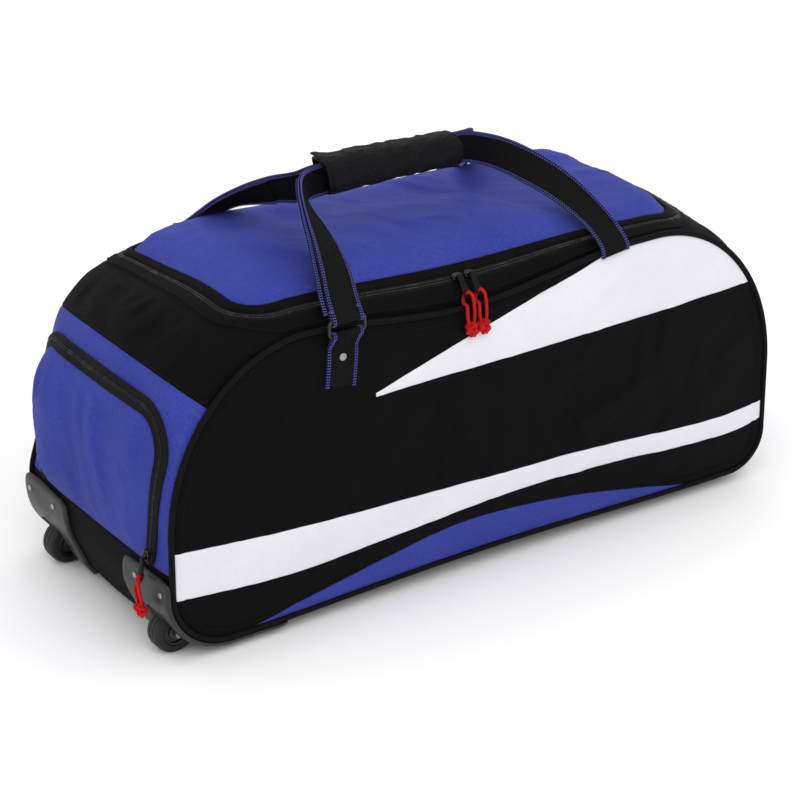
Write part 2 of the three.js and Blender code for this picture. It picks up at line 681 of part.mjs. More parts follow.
/** Strap on one side, from its right seam through the wrap to its left ring. */
function strap(side, label) {
  const rows = [...HANDLE_RIGHT, ...HANDLE_LEFT[label]];
  const centres = rows.map(([x, out, z]) => vector(x, side * out, z));
  const route = new THREE.CatmullRomCurve3(centres, false, "centripetal");
  const rings = rows.map(([x, , , upright], index) => {
    const turn = (upright * Math.PI) / 2;
    const wide = vector(Math.sign(x - GRIP.x) * Math.cos(turn), 0, Math.sin(turn));
    return webbingSection(centres[index], route.getTangent(index / (rows.length - 1)), wide);
  });
  return loft(rings, { matched: true });
}

/** Oval ring of the padded wrap. */
function gripRing(x, inset) {
  return range(GRIP_SIDES).map((step) => {
    const angle = ((step + 0.5) / GRIP_SIDES) * Math.PI * 2;
    const round = (value) => Math.sign(value) * Math.abs(value) ** GRIP_SQUARENESS;
    return vector(
      x,
      GRIP.y + (GRIP.depth / 2 - inset) * round(Math.cos(angle)),
      gripHeight(x) + (GRIP.height / 2 - inset) * round(Math.sin(angle)),
    );
  });
}

const gripLoft = (reach, inset) => loft([-reach, reach].map((x) => gripRing(GRIP.x + x, inset)));
const gripBore = gripLoft(GRIP.length, GRIP.wall);
piece("grip", gripLoft(GRIP.length / 2, 0).subtract(gripBore), FABRIC_BLACK);

const PATCH_STEPS = 5;
const OVER_PIPING = HALF_WIDTH + PIPING_RADIUS + 3 * SEAM_GAP;

/** Middle of the patch's inner face: on the side panel at its foot, over the piping at its top. */
function patchPoint(side, z) {
  const share = (z - PATCH.foot) / (PATCH.top - PATCH.foot);
  const x = STRAP_LEFT - PATCH.lean * (1 - share);
  const lying = Math.abs(panelPoint(side, x, z, 2 * SEAM_GAP).y);
  return vector(x, side * Math.max(lying, mix(0, OVER_PIPING, ease(2 * share))), z);
}

for (const [side, label] of SIDES) {
  piece(`strap_${label}`, strap(side, label), FABRIC_BLACK);
  const levels = range(PATCH_STEPS + 1).map((step) => mix(PATCH.foot, PATCH.top, step / PATCH_STEPS));
  const half = WEBBING.width / 2;
  const patch = loft(levels.map((z) => {
    const { x, y } = patchPoint(side, z);
    const outer = y + side * WEBBING.thickness;
    const section = [[-half, y], [half, y], [half, outer], [-half, outer]];
    return section.map(([reach, out]) => vector(x + reach, out, z));
  }));
  piece(`strap_patch_${label}`, patch, FABRIC_BLACK);
  const middle = patchPoint(side, (PATCH.foot + PATCH.top) / 2);
  const onPatch = (lift) => middle.clone().add(vector(0, side * lift, 0));
  const seat = WEBBING.thickness + 2 * SEAM_GAP;
  const rivet = bar(onPatch(seat), onPatch(seat + RIVET.height), RIVET.radius, RIVET.sides);
  piece(`strap_rivet_${label}`, rivet, METAL);
  const outside = RING.width / 2;
  const inside = outside - RING.bar;
  const frame = roundedRectangle(-outside, outside, 0, RING.height, RING.bar);
  const space = roundedRectangle(-inside, inside, RING.bar, RING.height - RING.bar, RING.bar / 4);
  frame.holes.push(new THREE.Path(space.getPoints(1)));
  const ringMiddle = side * (OVER_PIPING + 2 * WEBBING.thickness + SEAM_GAP + RING.bar / 2);
  const ring = prism(frame, ringMiddle - RING.bar / 2, ringMiddle + RING.bar / 2, "y", 1);
  piece(`strap_ring_${label}`, ring.translate([STRAP_LEFT, 0, PATCH.top - RING.height / 3]), PLASTIC_GREY);
}

// Zip pulls: a slider on the chain, a tab hung from it and a loop of cord through the tab's hole
// Each row of the cord loop is across, down and out from the tab, from one tail to the other
const CORD_LOOP = [
  [-2.3, 48, 1.5],
  [-2.3, 40, 1.5],
  [-4.5, 28, 3],
  [-4.5, 14, 5.6],
  [-3.2, 5, 6],
  [-0.8, 0, 3.8],
  [0, 0, 0],
  [0.8, 0, -3.4],
  [3.2, 5, -3.8],
  [4.5, 9.5, -1.5],
  [4.5, 15, 4.6],
  [4.5, 28, 3],
  [2.3, 40, 1.5],
  [2.3, 48, 1.5],
];
const CORD_STEPS = 14;
const CORD_QUARTER_STEPS = 4;
const EYE_SIDES = 8;

/** A bar of rectangular section from one point along a direction. */
function slab(start, along, wide, length, width, thickness) {
  const through = along.clone().cross(wide).normalize();
  const section = (reach) => [[-1, -1], [1, -1], [1, 1], [-1, 1]].map(([a, b]) => start.clone()
    .addScaledVector(along, reach)
    .addScaledVector(wide, (a * width) / 2)
    .addScaledVector(through, (b * thickness) / 2));
  return loft([section(0), section(length)]);
}

/** Slider, tab and cord of one zip pull, from its seat on the chain. */
function zipPull(name, lift, seat, out, along, hang, drop) {
  const wide = along.clone().cross(out).normalize();
  const body = seat.clone()
    .addScaledVector(out, SLIDER.height / 2)
    .addScaledVector(along, -SLIDER.length / 2);
  const slider = slab(body, along, wide, SLIDER.length, SLIDER.width, SLIDER.height);
  piece(`slider_${name}`, slider, PLASTIC_BLACK);
  const hinge = seat.clone().addScaledVector(out, SLIDER.height + TAB.thickness / 2 + lift);
  const axis = hang.clone().cross(out).normalize();
  const face = axis.clone().cross(hang).normalize();
  const holeAt = hinge.clone().addScaledVector(hang, TAB.length - TAB.hole);
  const eye = bar(
    holeAt.clone().addScaledVector(face, -TAB.thickness),
    holeAt.clone().addScaledVector(face, TAB.thickness),
    CORD_RADIUS + EYE_CLEARANCE,
    EYE_SIDES,
  );
  const tab = slab(hinge, hang, axis, TAB.length, TAB.width, TAB.thickness).subtract(eye);
  piece(`tab_${name}`, tab, PLASTIC_BLACK);
  const route = new THREE.CatmullRomCurve3(CORD_LOOP.map(([across, down, forward]) => holeAt.clone()
    .addScaledVector(axis, across)
    .addScaledVector(drop, down)
    .addScaledVector(face, forward)));
  const section = new THREE.Shape();
  section.absarc(0, 0, CORD_RADIUS, 0, Math.PI * 2);
  const tube = new THREE.ExtrudeGeometry(section, {
    steps: CORD_STEPS,
    curveSegments: CORD_QUARTER_STEPS,
    extrudePath: route,
    bevelEnabled: false,
  });
  piece(`cord_${name}`, solidOf(tube), CORD_RED);
}

const LID_HANG = vector(0, -0.66, -0.75).normalize();
const LID_DROP = vector(0, -0.25, -1).normalize();
const END_LEAN = 0.12;
const PROBE = 10;
const topShare = (x) => (runs[3] + shoulderX - x) / outlineLength;
LID_PULLS.forEach((x, index) => {
  const across = LID.near / GUSSET_HALF;
  const seat = gussetPoint(topShare(x), across, CHAIN_RAISE + SEAM_GAP - LID_PULL_SINK);
  const out = gussetPoint(topShare(x), across, CHAIN_RAISE + PROBE).sub(seat).normalize();
  zipPull(`lid_${index + 1}`, TAB_LIFT.lid, seat, out, vector(1, 0, 0), LID_HANG, LID_DROP);
});
for (const [end, level] of [["wheel", WHEEL_PULL_HEIGHT], ["far", FAR_PULL_HEIGHT]]) {
  const across = -mix(POCKET.footHalf, POCKET.topHalf, pocketFlare(level));
  const seat = endPoint(end, level, across, chainTop(end) + SEAM_GAP);
  const out = endPoint(end, level, across, chainTop(end) + PROBE).sub(seat).normalize();
  const higher = endPoint(end, level + PROBE, across, chainTop(end) + SEAM_GAP);
  const along = higher.sub(seat).normalize();
  const outward = end === "far" ? 1 : -1;
  const hang = vector(END_LEAN * outward, 0, -1).normalize();
  zipPull(`pocket_${end}`, TAB_LIFT.pocket, seat, out, along, hang, vector(0, 0, -1));
}

export default bag;
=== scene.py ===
"""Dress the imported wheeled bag: sewn cloth, zips, webbing handle, wheel guards, finishes and studio."""
import logging
import math
from dataclasses import dataclass
from enum import Enum
from functools import cached_property
from typing import Callable, Sequence

import bpy
import numpy as np
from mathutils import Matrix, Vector
from mathutils.geometry import delaunay_2d_cdt


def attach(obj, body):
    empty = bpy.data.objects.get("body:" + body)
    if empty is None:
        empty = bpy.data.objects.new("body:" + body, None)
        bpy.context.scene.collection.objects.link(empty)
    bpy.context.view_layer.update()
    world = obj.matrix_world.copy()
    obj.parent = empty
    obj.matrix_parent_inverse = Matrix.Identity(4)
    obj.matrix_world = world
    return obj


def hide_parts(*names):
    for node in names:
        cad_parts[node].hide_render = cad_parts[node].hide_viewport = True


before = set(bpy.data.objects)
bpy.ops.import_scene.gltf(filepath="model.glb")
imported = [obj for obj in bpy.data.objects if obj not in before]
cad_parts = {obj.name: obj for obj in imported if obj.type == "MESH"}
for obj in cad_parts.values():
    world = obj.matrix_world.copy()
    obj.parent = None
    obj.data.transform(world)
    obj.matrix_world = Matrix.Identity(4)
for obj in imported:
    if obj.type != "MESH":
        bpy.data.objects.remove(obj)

LOG = logging.getLogger("wheeled_bag")
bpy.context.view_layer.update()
MM = 0.001
TINY = 1e-12
BATCH = 1500
Array = np.ndarray
Surface = Callable[[Array, Array], Array]


class Side(Enum):
    """Long side of the bag."""

    NEAR = "near"
    BACK = "back"

    @property
    def sign(self) -> float:
        """Direction of this side along Y."""
        return -1.0 if self is Side.NEAR else 1.0


class End(Enum):
    """Short end of the bag."""

    WHEEL = "wheel"
    FAR = "far"

    @property
    def sign(self) -> float:
        """Direction of this end along X."""
        return -1.0 if self is End.WHEEL else 1.0


def clamp01(value: Array) -> Array:
    """Value held between nothing and one."""
    return np.clip(value, 0.0, 1.0)


def ease(value: Array) -> Array:
    """Smooth step from nothing to one."""
    held = clamp01(value)
    return held * held * (3.0 - 2.0 * held)


def mix(first: float, second: float, share: Array) -> Array:
    """Blend of two values by a share."""
    return first + (second - first) * share


def hump(x: Array, centre: float, span: float) -> Array:
    """Smooth hump that is one at its centre and nothing at its span."""
    return 0.5 * (1.0 + np.cos(np.pi * clamp01(np.abs(x - centre) / span)))


def unit(vectors: Array) -> Array:
    """Vectors brought to length one along the last axis."""
    size = np.linalg.norm(vectors, axis=-1, keepdims=True)
    return vectors / np.maximum(size, TINY)


def lengths(points: Array) -> Array:
    """Running length of a line at each of its points."""
    return np.concatenate([[0.0], np.cumsum(np.linalg.norm(np.diff(points, axis=0), axis=1))])


def heading(line: Array, closed: bool) -> Array:
    """Direction of a line at each of its points.

    Args:
        line: Points of the line.
        closed: Whether it comes back to its start.

    Returns:
        Unit directions.
    """
    ahead = np.roll(line, -1, axis=0) if closed else np.vstack([line[1:], line[-1:]])
    behind = np.roll(line, 1, axis=0) if closed else np.vstack([line[:1], line[:-1]])
    return unit(ahead - behind)


def mirrored(rows: Sequence) -> list:
    """Half a profile of radius and offset, followed by its mirror image."""
    return [*rows, *((radius, -offset) for radius, offset in reversed(rows))]


def subdivide(points: Sequence, step: float, closed: bool) -> Array:
    """Points of a line with its long stretches split, corners kept.

    Args:
        points: Corners of the line.
        step: Longest stretch that is left.
        closed: Whether the line comes back to its start.

    Returns:
        The finer line, with no repeated end point.
    """
    line = np.asarray(points, float)
    stops = np.vstack([line, line[:1]]) if closed else line
    rows = []
    for start, stop in zip(stops[:-1], stops[1:]):
        count = max(1, int(math.ceil(np.linalg.norm(stop - start) / step)))
        rows.append(start + (stop - start) * (np.arange(count) / count)[:, None])
    return np.vstack(rows) if closed else np.vstack([*rows, stops[-1:]])


def resample(points: Array, step: float) -> Array:
    """Open line laid out again at an even step.

    Args:
        points: Points of the line.
        step: Distance between the new points.

    Returns:
        The new points, with both ends.
    """
    length = lengths(points)
    count = max(2, int(round(length[-1] / step)) + 1)
    marks = np.linspace(0.0, length[-1], count)
    return np.stack([np.interp(marks, length, points[:, axis]) for axis in range(points.shape[1])], axis=1)


def spline(rows: Sequence, steps: int = 14, power: float = 0.5) -> Array:
    """Smooth line through rows of numbers.

    Args:
        rows: Rows that the line passes through.
        steps: Samples for each stretch.
        power: Share of the stretch's length that sets its knot spacing; nothing gives even knots.

    Returns:
        Samples along the line, with both ends.
    """
    given = np.asarray(rows, float)
    line = np.vstack([2 * given[0] - given[1], given, 2 * given[-1] - given[-2]])
    out = []
    for i in range(1, len(line) - 2):
        p0, p1, p2, p3 = line[i - 1:i + 3]
        gaps = [max(1e-6, np.linalg.norm(b - a)) ** power for a, b in ((p0, p1), (p1, p2), (p2, p3))]
        m1 = gaps[1] * ((p1 - p0) / gaps[0] - (p2 - p0) / (gaps[0] + gaps[1]) + (p2 - p1) / gaps[1])
        m2 = gaps[1] * ((p2 - p1) / gaps[1] - (p3 - p1) / (gaps[1] + gaps[2]) + (p3 - p2) / gaps[2])
        t = (np.arange(steps) / steps)[:, None]
        out.append((2 * t**3 - 3 * t**2 + 1) * p1 + (t**3 - 2 * t**2 + t) * m1
                   + (3 * t**2 - 2 * t**3) * p2 + (t**3 - t**2) * m2)
    return np.vstack([*out, given[-1:]])


def rounded_rectangle(left: float, right: float, near: float, far: float, corner: float,
                      far_corner: float) -> Array:
    """Closed outline of a rectangle with round corners, starting in the middle of its near edge.

    Args:
        left: Lowest x.
        right: Highest x.
        near: Lowest y.
        far: Highest y.
        corner: Radius of the two near corners.
        far_corner: Radius of the two far corners.

    Returns:
        Points once round the outline.
    """
    turns = np.linspace(-90.0, 0.0, 13)
    centres = [(right - corner, near + corner, 0, corner), (right - far_corner, far - far_corner, 90, far_corner),
               (left + far_corner, far - far_corner, 180, far_corner), (left + corner, near + corner, 270, corner)]
    rows = [[[(left + right) / 2, near]]]
    for x, y, start, radius in centres:
        angles = np.radians(turns + start)
        rows.append(np.stack([x + radius * np.cos(angles), y + radius * np.sin(angles)], axis=1))
    return np.vstack(rows)


def edge_distance(points: Array, starts: Array, stops: Array) -> Array:
    """Distance of each point to the nearest of many straight stretches.

    Args:
        points: Points to measure from.
        starts: First ends of the stretches.
        stops: Last ends of the stretches.

    Returns:
        One distance for each point.
    """
    run = stops - starts
    size = np.maximum((run**2).sum(1), TINY)
    best = np.empty(len(points))
    for first in range(0, len(points), BATCH):
        part = points[first:first + BATCH, None, :] - starts[None]
        share = clamp01((part * run[None]).sum(2) / size)
        gap = part - share[..., None] * run[None]
        best[first:first + BATCH] = np.sqrt((gap**2).sum(2).min(1))
    return best


def loop_distance(points: Array, loop: Array) -> Array:
    """Distance of each point to a closed loop."""
    return edge_distance(points, loop, np.roll(loop, -1, axis=0))


def inside(points: Array, loops: Sequence[Array]) -> Array:
    """Whether each point lies inside the first loop and outside the others.

    Args:
        points: Points to test.
        loops: Closed outlines.

    Returns:
        One answer for each point.
    """
    held = np.zeros(len(points), bool)
    for loop in loops:
        a, b = loop, np.roll(loop, -1, axis=0)
        rise = np.where(np.abs(b[:, 1] - a[:, 1]) < TINY, TINY, b[:, 1] - a[:, 1])
        for first in range(0, len(points), BATCH):
            x, y = points[first:first + BATCH, 0:1], points[first:first + BATCH, 1:2]
            spans = (a[None, :, 1] > y) != (b[None, :, 1] > y)
            meet = a[:, 0] + (y - a[:, 1]) * (b[:, 0] - a[:, 0]) / rise
            held[first:first + BATCH] ^= (np.count_nonzero(spans & (x < meet), axis=1) % 2).astype(bool)
    return held


@dataclass
class Shell:
    """Mesh data of one body in millimetres, with its cloth coordinates in metres."""

    points: Array
    faces: list
    uv: Array

    def outward(self) -> "Shell":
        """Same shell with its faces turned to point out.

        Returns:
            This shell.
        """
        volume = 0.0
        for face in self.faces:
            corner = self.points[list(face)]
            for k in range(1, len(face) - 1):
                volume += float(np.dot(corner[0], np.cross(corner[k], corner[k + 1])))
        if volume < 0:
            self.faces = [tuple(reversed(face)) for face in self.faces]
        return self


@dataclass
class Pattern:
    """Flat cut piece of cloth, as points and triangles in the coordinates of the surface it is sewn on."""

    spots: Array
    triangles: Array

    @classmethod
    def cut(cls, loops: Sequence[Array], step: float, seams: Sequence[Array] = (),
            rings: Sequence[float] = (0.7, 2.2)) -> "Pattern":
        """Cut a pattern from its outline.

        Args:
            loops: Closed outlines, the outer one first and then holes.
            step: Spacing of the points inside.
            seams: Open lines that the triangles follow.
            rings: Distances from every line at which rows of points are laid.

        Returns:
            The triangulated pattern.
        """
        lines = [(loop, True) for loop in loops] + [(seam, False) for seam in seams]
        starts = np.vstack([line if closed else line[:-1] for line, closed in lines])
        stops = np.vstack([np.roll(line, -1, axis=0) if closed else line[1:] for line, closed in lines])
        spots, edges, total = [], [], 0
        for line, closed in lines:
            count = len(line)
            spots.append(line)
            edges += [(total + i, total + (i + 1) % count) for i in range(count if closed else count - 1)]
            total += count
        for reach in rings:
            for line, closed in lines:
                run = heading(line, closed)
                normal = np.stack([-run[:, 1], run[:, 0]], axis=1)
                for way in (-reach, reach):
                    rows = line + way * normal
                    fits = inside(rows, loops) & (edge_distance(rows, starts, stops) > 0.85 * reach)
                    spots.append(rows[fits])
        low, high = loops[0].min(0), loops[0].max(0)
        across = np.arange(low[0], high[0] + step, step)
        up = np.arange(low[1], high[1] + step, step * 0.866)
        grid = np.array([(x + (0.5 * step if row % 2 else 0.0), y) for row, y in enumerate(up) for x in across])
        fits = inside(grid, loops)
        fits[fits] = edge_distance(grid[fits], starts, stops) > max(rings) + 0.4 * step
        spots.append(grid[fits])
        made = delaunay_2d_cdt([Vector(spot) for spot in np.vstack(spots)], edges, [], 0, 1e-3)
        flat = np.array([tuple(spot) for spot in made[0]])
        triangles = np.array([face for face in made[2] if len(face) == 3])
        return cls(flat, triangles[inside(flat[triangles].mean(1), loops)])

    def part(self, chosen: Array) -> "Pattern":
        """Pattern of the chosen triangles alone."""
        used, names = np.unique(self.triangles[chosen], return_inverse=True)
        return Pattern(self.spots[used], names.reshape(-1, 3))

    @cached_property
    def rim(self) -> Array:
        """Edges that only one triangle has, in that triangle's direction.

        Returns:
            Pairs of point numbers.
        """
        seen = {}
        for face in self.triangles:
            for k in range(3):
                edge = (int(face[k]), int(face[(k + 1) % 3]))
                seen[tuple(sorted(edge))] = None if tuple(sorted(edge)) in seen else edge
        return np.array([edge for edge in seen.values() if edge is not None])

    @cached_property
    def depth(self) -> Array:
        """Distance of each point from the pattern's own edge."""
        return edge_distance(self.spots, self.spots[self.rim[:, 0]], self.spots[self.rim[:, 1]])

    def sew(self, surface: Surface, lift: Array, thickness: float) -> Shell:
        """Lay the pattern on a surface as cloth of some thickness.

        Args:
            surface: Place of a pattern point at a lift above the surface.
            lift: Lift of the cloth's outer face at each point.
            thickness: Thickness of the cloth.

        Returns:
            A closed shell.
        """
        high = np.broadcast_to(lift, (len(self.spots),)).astype(float)
        outer = surface(self.spots, high)
        inner = surface(self.spots, high - thickness)
        count = len(self.spots)
        faces = [tuple(int(i) for i in face) for face in self.triangles]
        faces += [tuple(int(i) + count for i in reversed(face)) for face in self.triangles]
        faces += [(int(b), int(a), int(a) + count, int(b) + count) for a, b in self.rim]
        return Shell(np.vstack([outer, inner]), faces, np.vstack([self.spots, self.spots]) * MM).outward()


def softened(depth: Array, drop: float, width: float) -> Array:
    """Lift of cloth that rolls down at its edge."""
    return -drop * (1.0 - clamp01(depth / width)) ** 2


def ripples(spots: Array, seed: int, scale: float, stretch: float = 1.0, lean: float = 0.0) -> Array:
    """Soft irregular waves between minus one and one.

    Args:
        spots: Points on the cloth.
        seed: Number that fixes the waves.
        scale: Usual distance between waves.
        stretch: How much longer the waves run along their lean than across it.
        lean: Direction of the waves in degrees.

    Returns:
        Height of the waves at each point.
    """
    random = np.random.default_rng(seed)
    turn = math.radians(lean)
    along = spots[:, 0] * math.cos(turn) + spots[:, 1] * math.sin(turn)
    over = -spots[:, 0] * math.sin(turn) + spots[:, 1] * math.cos(turn)
    flat = np.stack([along / stretch, over], axis=1) / scale
    total = np.zeros(len(spots))
    for _ in range(7):
        angle, phase = random.uniform(0, 2 * math.pi, 2)
        size = random.uniform(0.7, 1.5)
        wave = flat[:, 0] * math.cos(angle) + flat[:, 1] * math.sin(angle)
        total += np.sin(2 * math.pi * wave * size + phase + 1.3 * np.sin(total))
    return np.tanh(total / 2.2)


def swept(sections: Array, closed: bool, length: Array, girth: Array) -> Shell:
    """Skin over a row of equal rings.

    Args:
        sections: Rings of points, one after the other.
        closed: Whether the last ring joins the first.
        length: Distance of each ring along the piece.
        girth: Distance of each point round its ring.

    Returns:
        A closed shell, capped at its ends where it isn't a loop.
    """
    rows, count = sections.shape[:2]
    faces = []
    for row in range(rows if closed else rows - 1):
        here, there = row * count, ((row + 1) % rows) * count
        faces += [(here + i, here + (i + 1) % count, there + (i + 1) % count, there + i) for i in range(count)]
    if not closed:
        faces.append(tuple(reversed(range(count))))
        faces.append(tuple((rows - 1) * count + i for i in range(count)))
    uv = np.stack(np.meshgrid(length, girth, indexing="ij"), axis=-1).reshape(-1, 2) * MM
    return Shell(sections.reshape(-1, 3), faces, uv).outward()


def tube(line: Array, radius: float, sides: int, closed: bool = False) -> Shell:
    """Round tube along a line.

    Args:
        line: Middle line.
        radius: Radius of the tube.
        sides: Number of its sides.
        closed: Whether the line comes back to its start.

    Returns:
        A closed shell.
    """
    run = heading(line, closed)
    across = np.zeros_like(line)
    across[0] = unit(np.cross(run[0], [0.31, 0.52, 0.79]))
    for i in range(1, len(line)):
        across[i] = unit(across[i - 1] - run[i] * np.dot(across[i - 1], run[i]))
    over = np.cross(run, across)
    turns = np.arange(sides) / sides * 2 * math.pi
    rings = (line[:, None] + radius * (np.cos(turns)[None, :, None] * across[:, None]
                                       + np.sin(turns)[None, :, None] * over[:, None]))
    return swept(rings, closed, lengths(line), turns * radius)


def turned(profile: Sequence, centre: Array, segments: int) -> Shell:
    """Shape turned about an axis along Y from a closed profile of radius and offset.

    Args:
        profile: Rows of radius and offset.
        centre: Middle of the axis.
        segments: Number of steps round it.

    Returns:
        A closed shell.
    """
    rows = np.asarray(profile, float)
    turns = np.arange(segments) / segments * 2 * math.pi
    rings = np.stack([np.outer(np.cos(turns), rows[:, 0]), np.tile(rows[:, 1], (segments, 1)),
                      np.outer(np.sin(turns), rows[:, 0])], axis=-1)
    return swept(rings + centre, True, turns * rows[:, 0].max(), np.arange(len(rows)) * 3.0)


def domed(centre: Array, out: Array, radius: float, height: float, segments: int = 24) -> Shell:
    """Round head with a rolled edge and a low crown, standing on a point along a direction.

    Args:
        centre: Foot of the head.
        out: Direction that it stands in.
        radius: Its radius.
        height: Its height.
        segments: Number of steps round it.

    Returns:
        A closed shell.
    """
    side = unit(np.cross(out, [0.3, 0.2, 0.9]))
    up = np.cross(out, side)
    profile = [(0.92, -0.3), (1.0, 0.1), (1.0, 0.35), (0.93, 0.62), (0.75, 0.86), (0.4, 0.98), (0.06, 1.0)]
    turns = np.arange(segments) / segments * 2 * math.pi
    circle = np.cos(turns)[:, None] * side + np.sin(turns)[:, None] * up
    rings = np.stack([centre + radius * r * circle + height * h * out for r, h in profile])
    return swept(rings, False, np.arange(len(profile)) * 1.0, turns * radius)


@dataclass(frozen=True)
class BodyForm:
    """Main form of the bag in millimetres, as a seam outline and a gusset that bulges from it."""

    half_length: float = 400.0
    half_width: float = 157.0
    seam_bottom: float = 17.0
    seam_top: float = 350.0
    wheel_end_radius: float = 70.0
    far_end_radius: float = 46.0
    shoulder_start: float = 150.0
    shoulder_length: float = 170.0
    wall: float = 2.4
    top_sag: float = 22.0
    sag_centre: float = -20.0
    sag_span: float = 225.0
    base_arch: float = 7.0
    crest_wheel: float = 393.0
    crest_middle: float = 384.0
    crest_far: float = 364.0
    shoulder_fullness: float = 1.3
    end_bulge: float = 5.0
    base_bulge: float = 27.0
    corner_firmness: float = 5.0
    side_bulge: float = 11.0
    side_centre: float = 175.0
    floor_rise: float = 10.5
    floor_rise_from: float = 150.0
    piping_radius: float = 3.4
    seam_gap: float = 0.3
    boot_line: float = 109.0
    shoulder_line: float = 293.0
    fullness: float = 16.0
    fullness_y: float = 82.0
    fullness_span: float = 72.0
    fullness_top: float = 215.0
    fullness_from: float = -330.0
    tuck: float = 13.0
    tuck_from: tuple = (-300.0, 60.0)
    sink_wheel: float = 14.0
    sink_far: float = 20.0
    dip: float = 13.0
    dip_at: tuple = (-285.0, 20.0)
    dip_span: tuple = (85.0, 135.0)
    settle_from: float = 270.0

    @property
    def shoulder_x(self) -> float:
        """Where the top's straight stretch ends."""
        return self.half_length - self.shoulder_length

    @property
    def gusset_half(self) -> float:
        """Half the width of the gusset between its pipings."""
        return self.half_width - self.piping_radius - self.seam_gap

    @cached_property
    def stretches(self) -> list:
        """Eight stretches of the outline, each as rows of x, z and direction.

        Returns:
            One array for each stretch.
        """
        wheel_x, wheel_z = self.wheel_end_radius - self.half_length, self.seam_bottom + self.wheel_end_radius
        far_x, far_z = self.half_length - self.far_end_radius, self.seam_bottom + self.far_end_radius
        height = self.seam_top - self.shoulder_start

        def straight(x0: float, z0: float, x1: float, z1: float) -> Array:
            """Straight stretch between two points.

            Args:
                x0: First x.
                z0: First z.
                x1: Last x.
                z1: Last z.

            Returns:
                Rows of x, z and direction.
            """
            t = np.linspace(0, 1, 200)[:, None]
            run = unit(np.array([x1 - x0, z1 - z0]))
            return np.hstack([[x0, z0] + ([x1 - x0, z1 - z0] * t), np.tile(run, (200, 1))])

        def quarter(x: float, z: float, radius_x: float, radius_z: float, turns: int) -> Array:
            """Quarter of an ellipse that starts at a number of quarter turns.

            Args:
                x: Middle x.
                z: Middle z.
                radius_x: Radius along X.
                radius_z: Radius along Z.
                turns: Quarter turns before its start.

            Returns:
                Rows of x, z and direction.
            """
            angle = (turns + np.linspace(0, 1, 400)) * math.pi / 2
            run = unit(np.stack([-radius_x * np.sin(angle), radius_z * np.cos(angle)], axis=1))
            return np.hstack([np.stack([x + radius_x * np.cos(angle), z + radius_z * np.sin(angle)], axis=1), run])

        return [
            straight(wheel_x, self.seam_bottom, far_x, self.seam_bottom),
            quarter(far_x, far_z, self.far_end_radius, self.far_end_radius, -1),
            straight(self.half_length, far_z, self.half_length, self.shoulder_start),
            quarter(self.shoulder_x, self.shoulder_start, self.shoulder_length, height, 0),
            straight(self.shoulder_x, self.seam_top, -self.shoulder_x, self.seam_top),
            quarter(-self.shoulder_x, self.shoulder_start, self.shoulder_length, height, 1),
            straight(-self.half_length, self.shoulder_start, -self.half_length, wheel_z),
            quarter(wheel_x, wheel_z, self.wheel_end_radius, self.wheel_end_radius, 2),
        ]

    @cached_property
    def table(self) -> Array:
        """Rows of running length, x, z and direction once round the outline."""
        rows = np.vstack(self.stretches)
        return np.column_stack([lengths(rows[:, :2]), rows])

    @cached_property
    def runs(self) -> Array:
        """Running length at the end of each stretch."""
        ends = np.cumsum([len(rows) for rows in self.stretches]) - 1
        return self.table[ends, 0]

    @property
    def length(self) -> float:
        """Length once round the outline."""
        return float(self.table[-1, 0])

    def sag(self, x: Array) -> Array:
        """How far the top seam dips."""
        return self.top_sag * hump(x, self.sag_centre, self.sag_span)

    def seam(self, run: Array) -> tuple:
        """Place and outward direction of the side seam.

        Args:
            run: Distances along the outline.

        Returns:
            Arrays x, z, outward x and outward z.
        """
        at = np.mod(run, self.length)
        x, z, run_x, run_z = (np.interp(at, self.table[:, 0], self.table[:, k]) for k in range(1, 5))
        arch = self.base_arch * hump(x, 0.0, self.half_length - self.wheel_end_radius)
        return x, z - self.sag(x) * ease(-run_x) + arch * ease(run_x), run_z, -run_x

    def bulge(self, x: Array, out_z: Array) -> Array:
        """How far the middle of the gusset stands out from the seam.

        Args:
            x: Places along the bag.
            out_z: Upward share of the outward direction.

        Returns:
            Distances in millimetres.
        """
        along = np.clip(x / self.shoulder_x, -1.0, 1.0)
        slope = (self.crest_far - self.crest_wheel) / 2
        bend = (self.crest_far + self.crest_wheel) / 2 - self.crest_middle
        top = self.crest_middle + slope * along + bend * along**2 - self.seam_top + self.sag(x)
        above = mix(self.end_bulge, top, ease(self.shoulder_fullness * out_z))
        below = mix(self.end_bulge, self.base_bulge, ease(-out_z) ** self.corner_firmness)
        return np.where(out_z > 0, above, below)

    def dome(self, y: Array) -> Array:
        """Share of the bulge across the gusset: steep at the seam, gently crowned between."""
        edge = np.minimum(1.0, np.abs(y) / self.gusset_half)
        return 0.45 * (1 - edge**14) + 0.55 * (1 - edge**1.8)

    def stuffing(self, x: Array, z: Array, y: Array) -> Array:
        """Extra swell where the load leans on the back half of the wheel end.

        Args:
            x: Places along the bag.
            z: Heights.
            y: Places across the bag.

        Returns:
            Distances in millimetres.
        """
        tall = ease((z - self.boot_line) / 50.0) * (1.0 - ease((z - self.fullness_top) / 80.0))
        wide = hump(y, self.fullness_y, self.fullness_span)
        return self.fullness * tall * wide * ease((self.fullness_from - x) / 40.0)

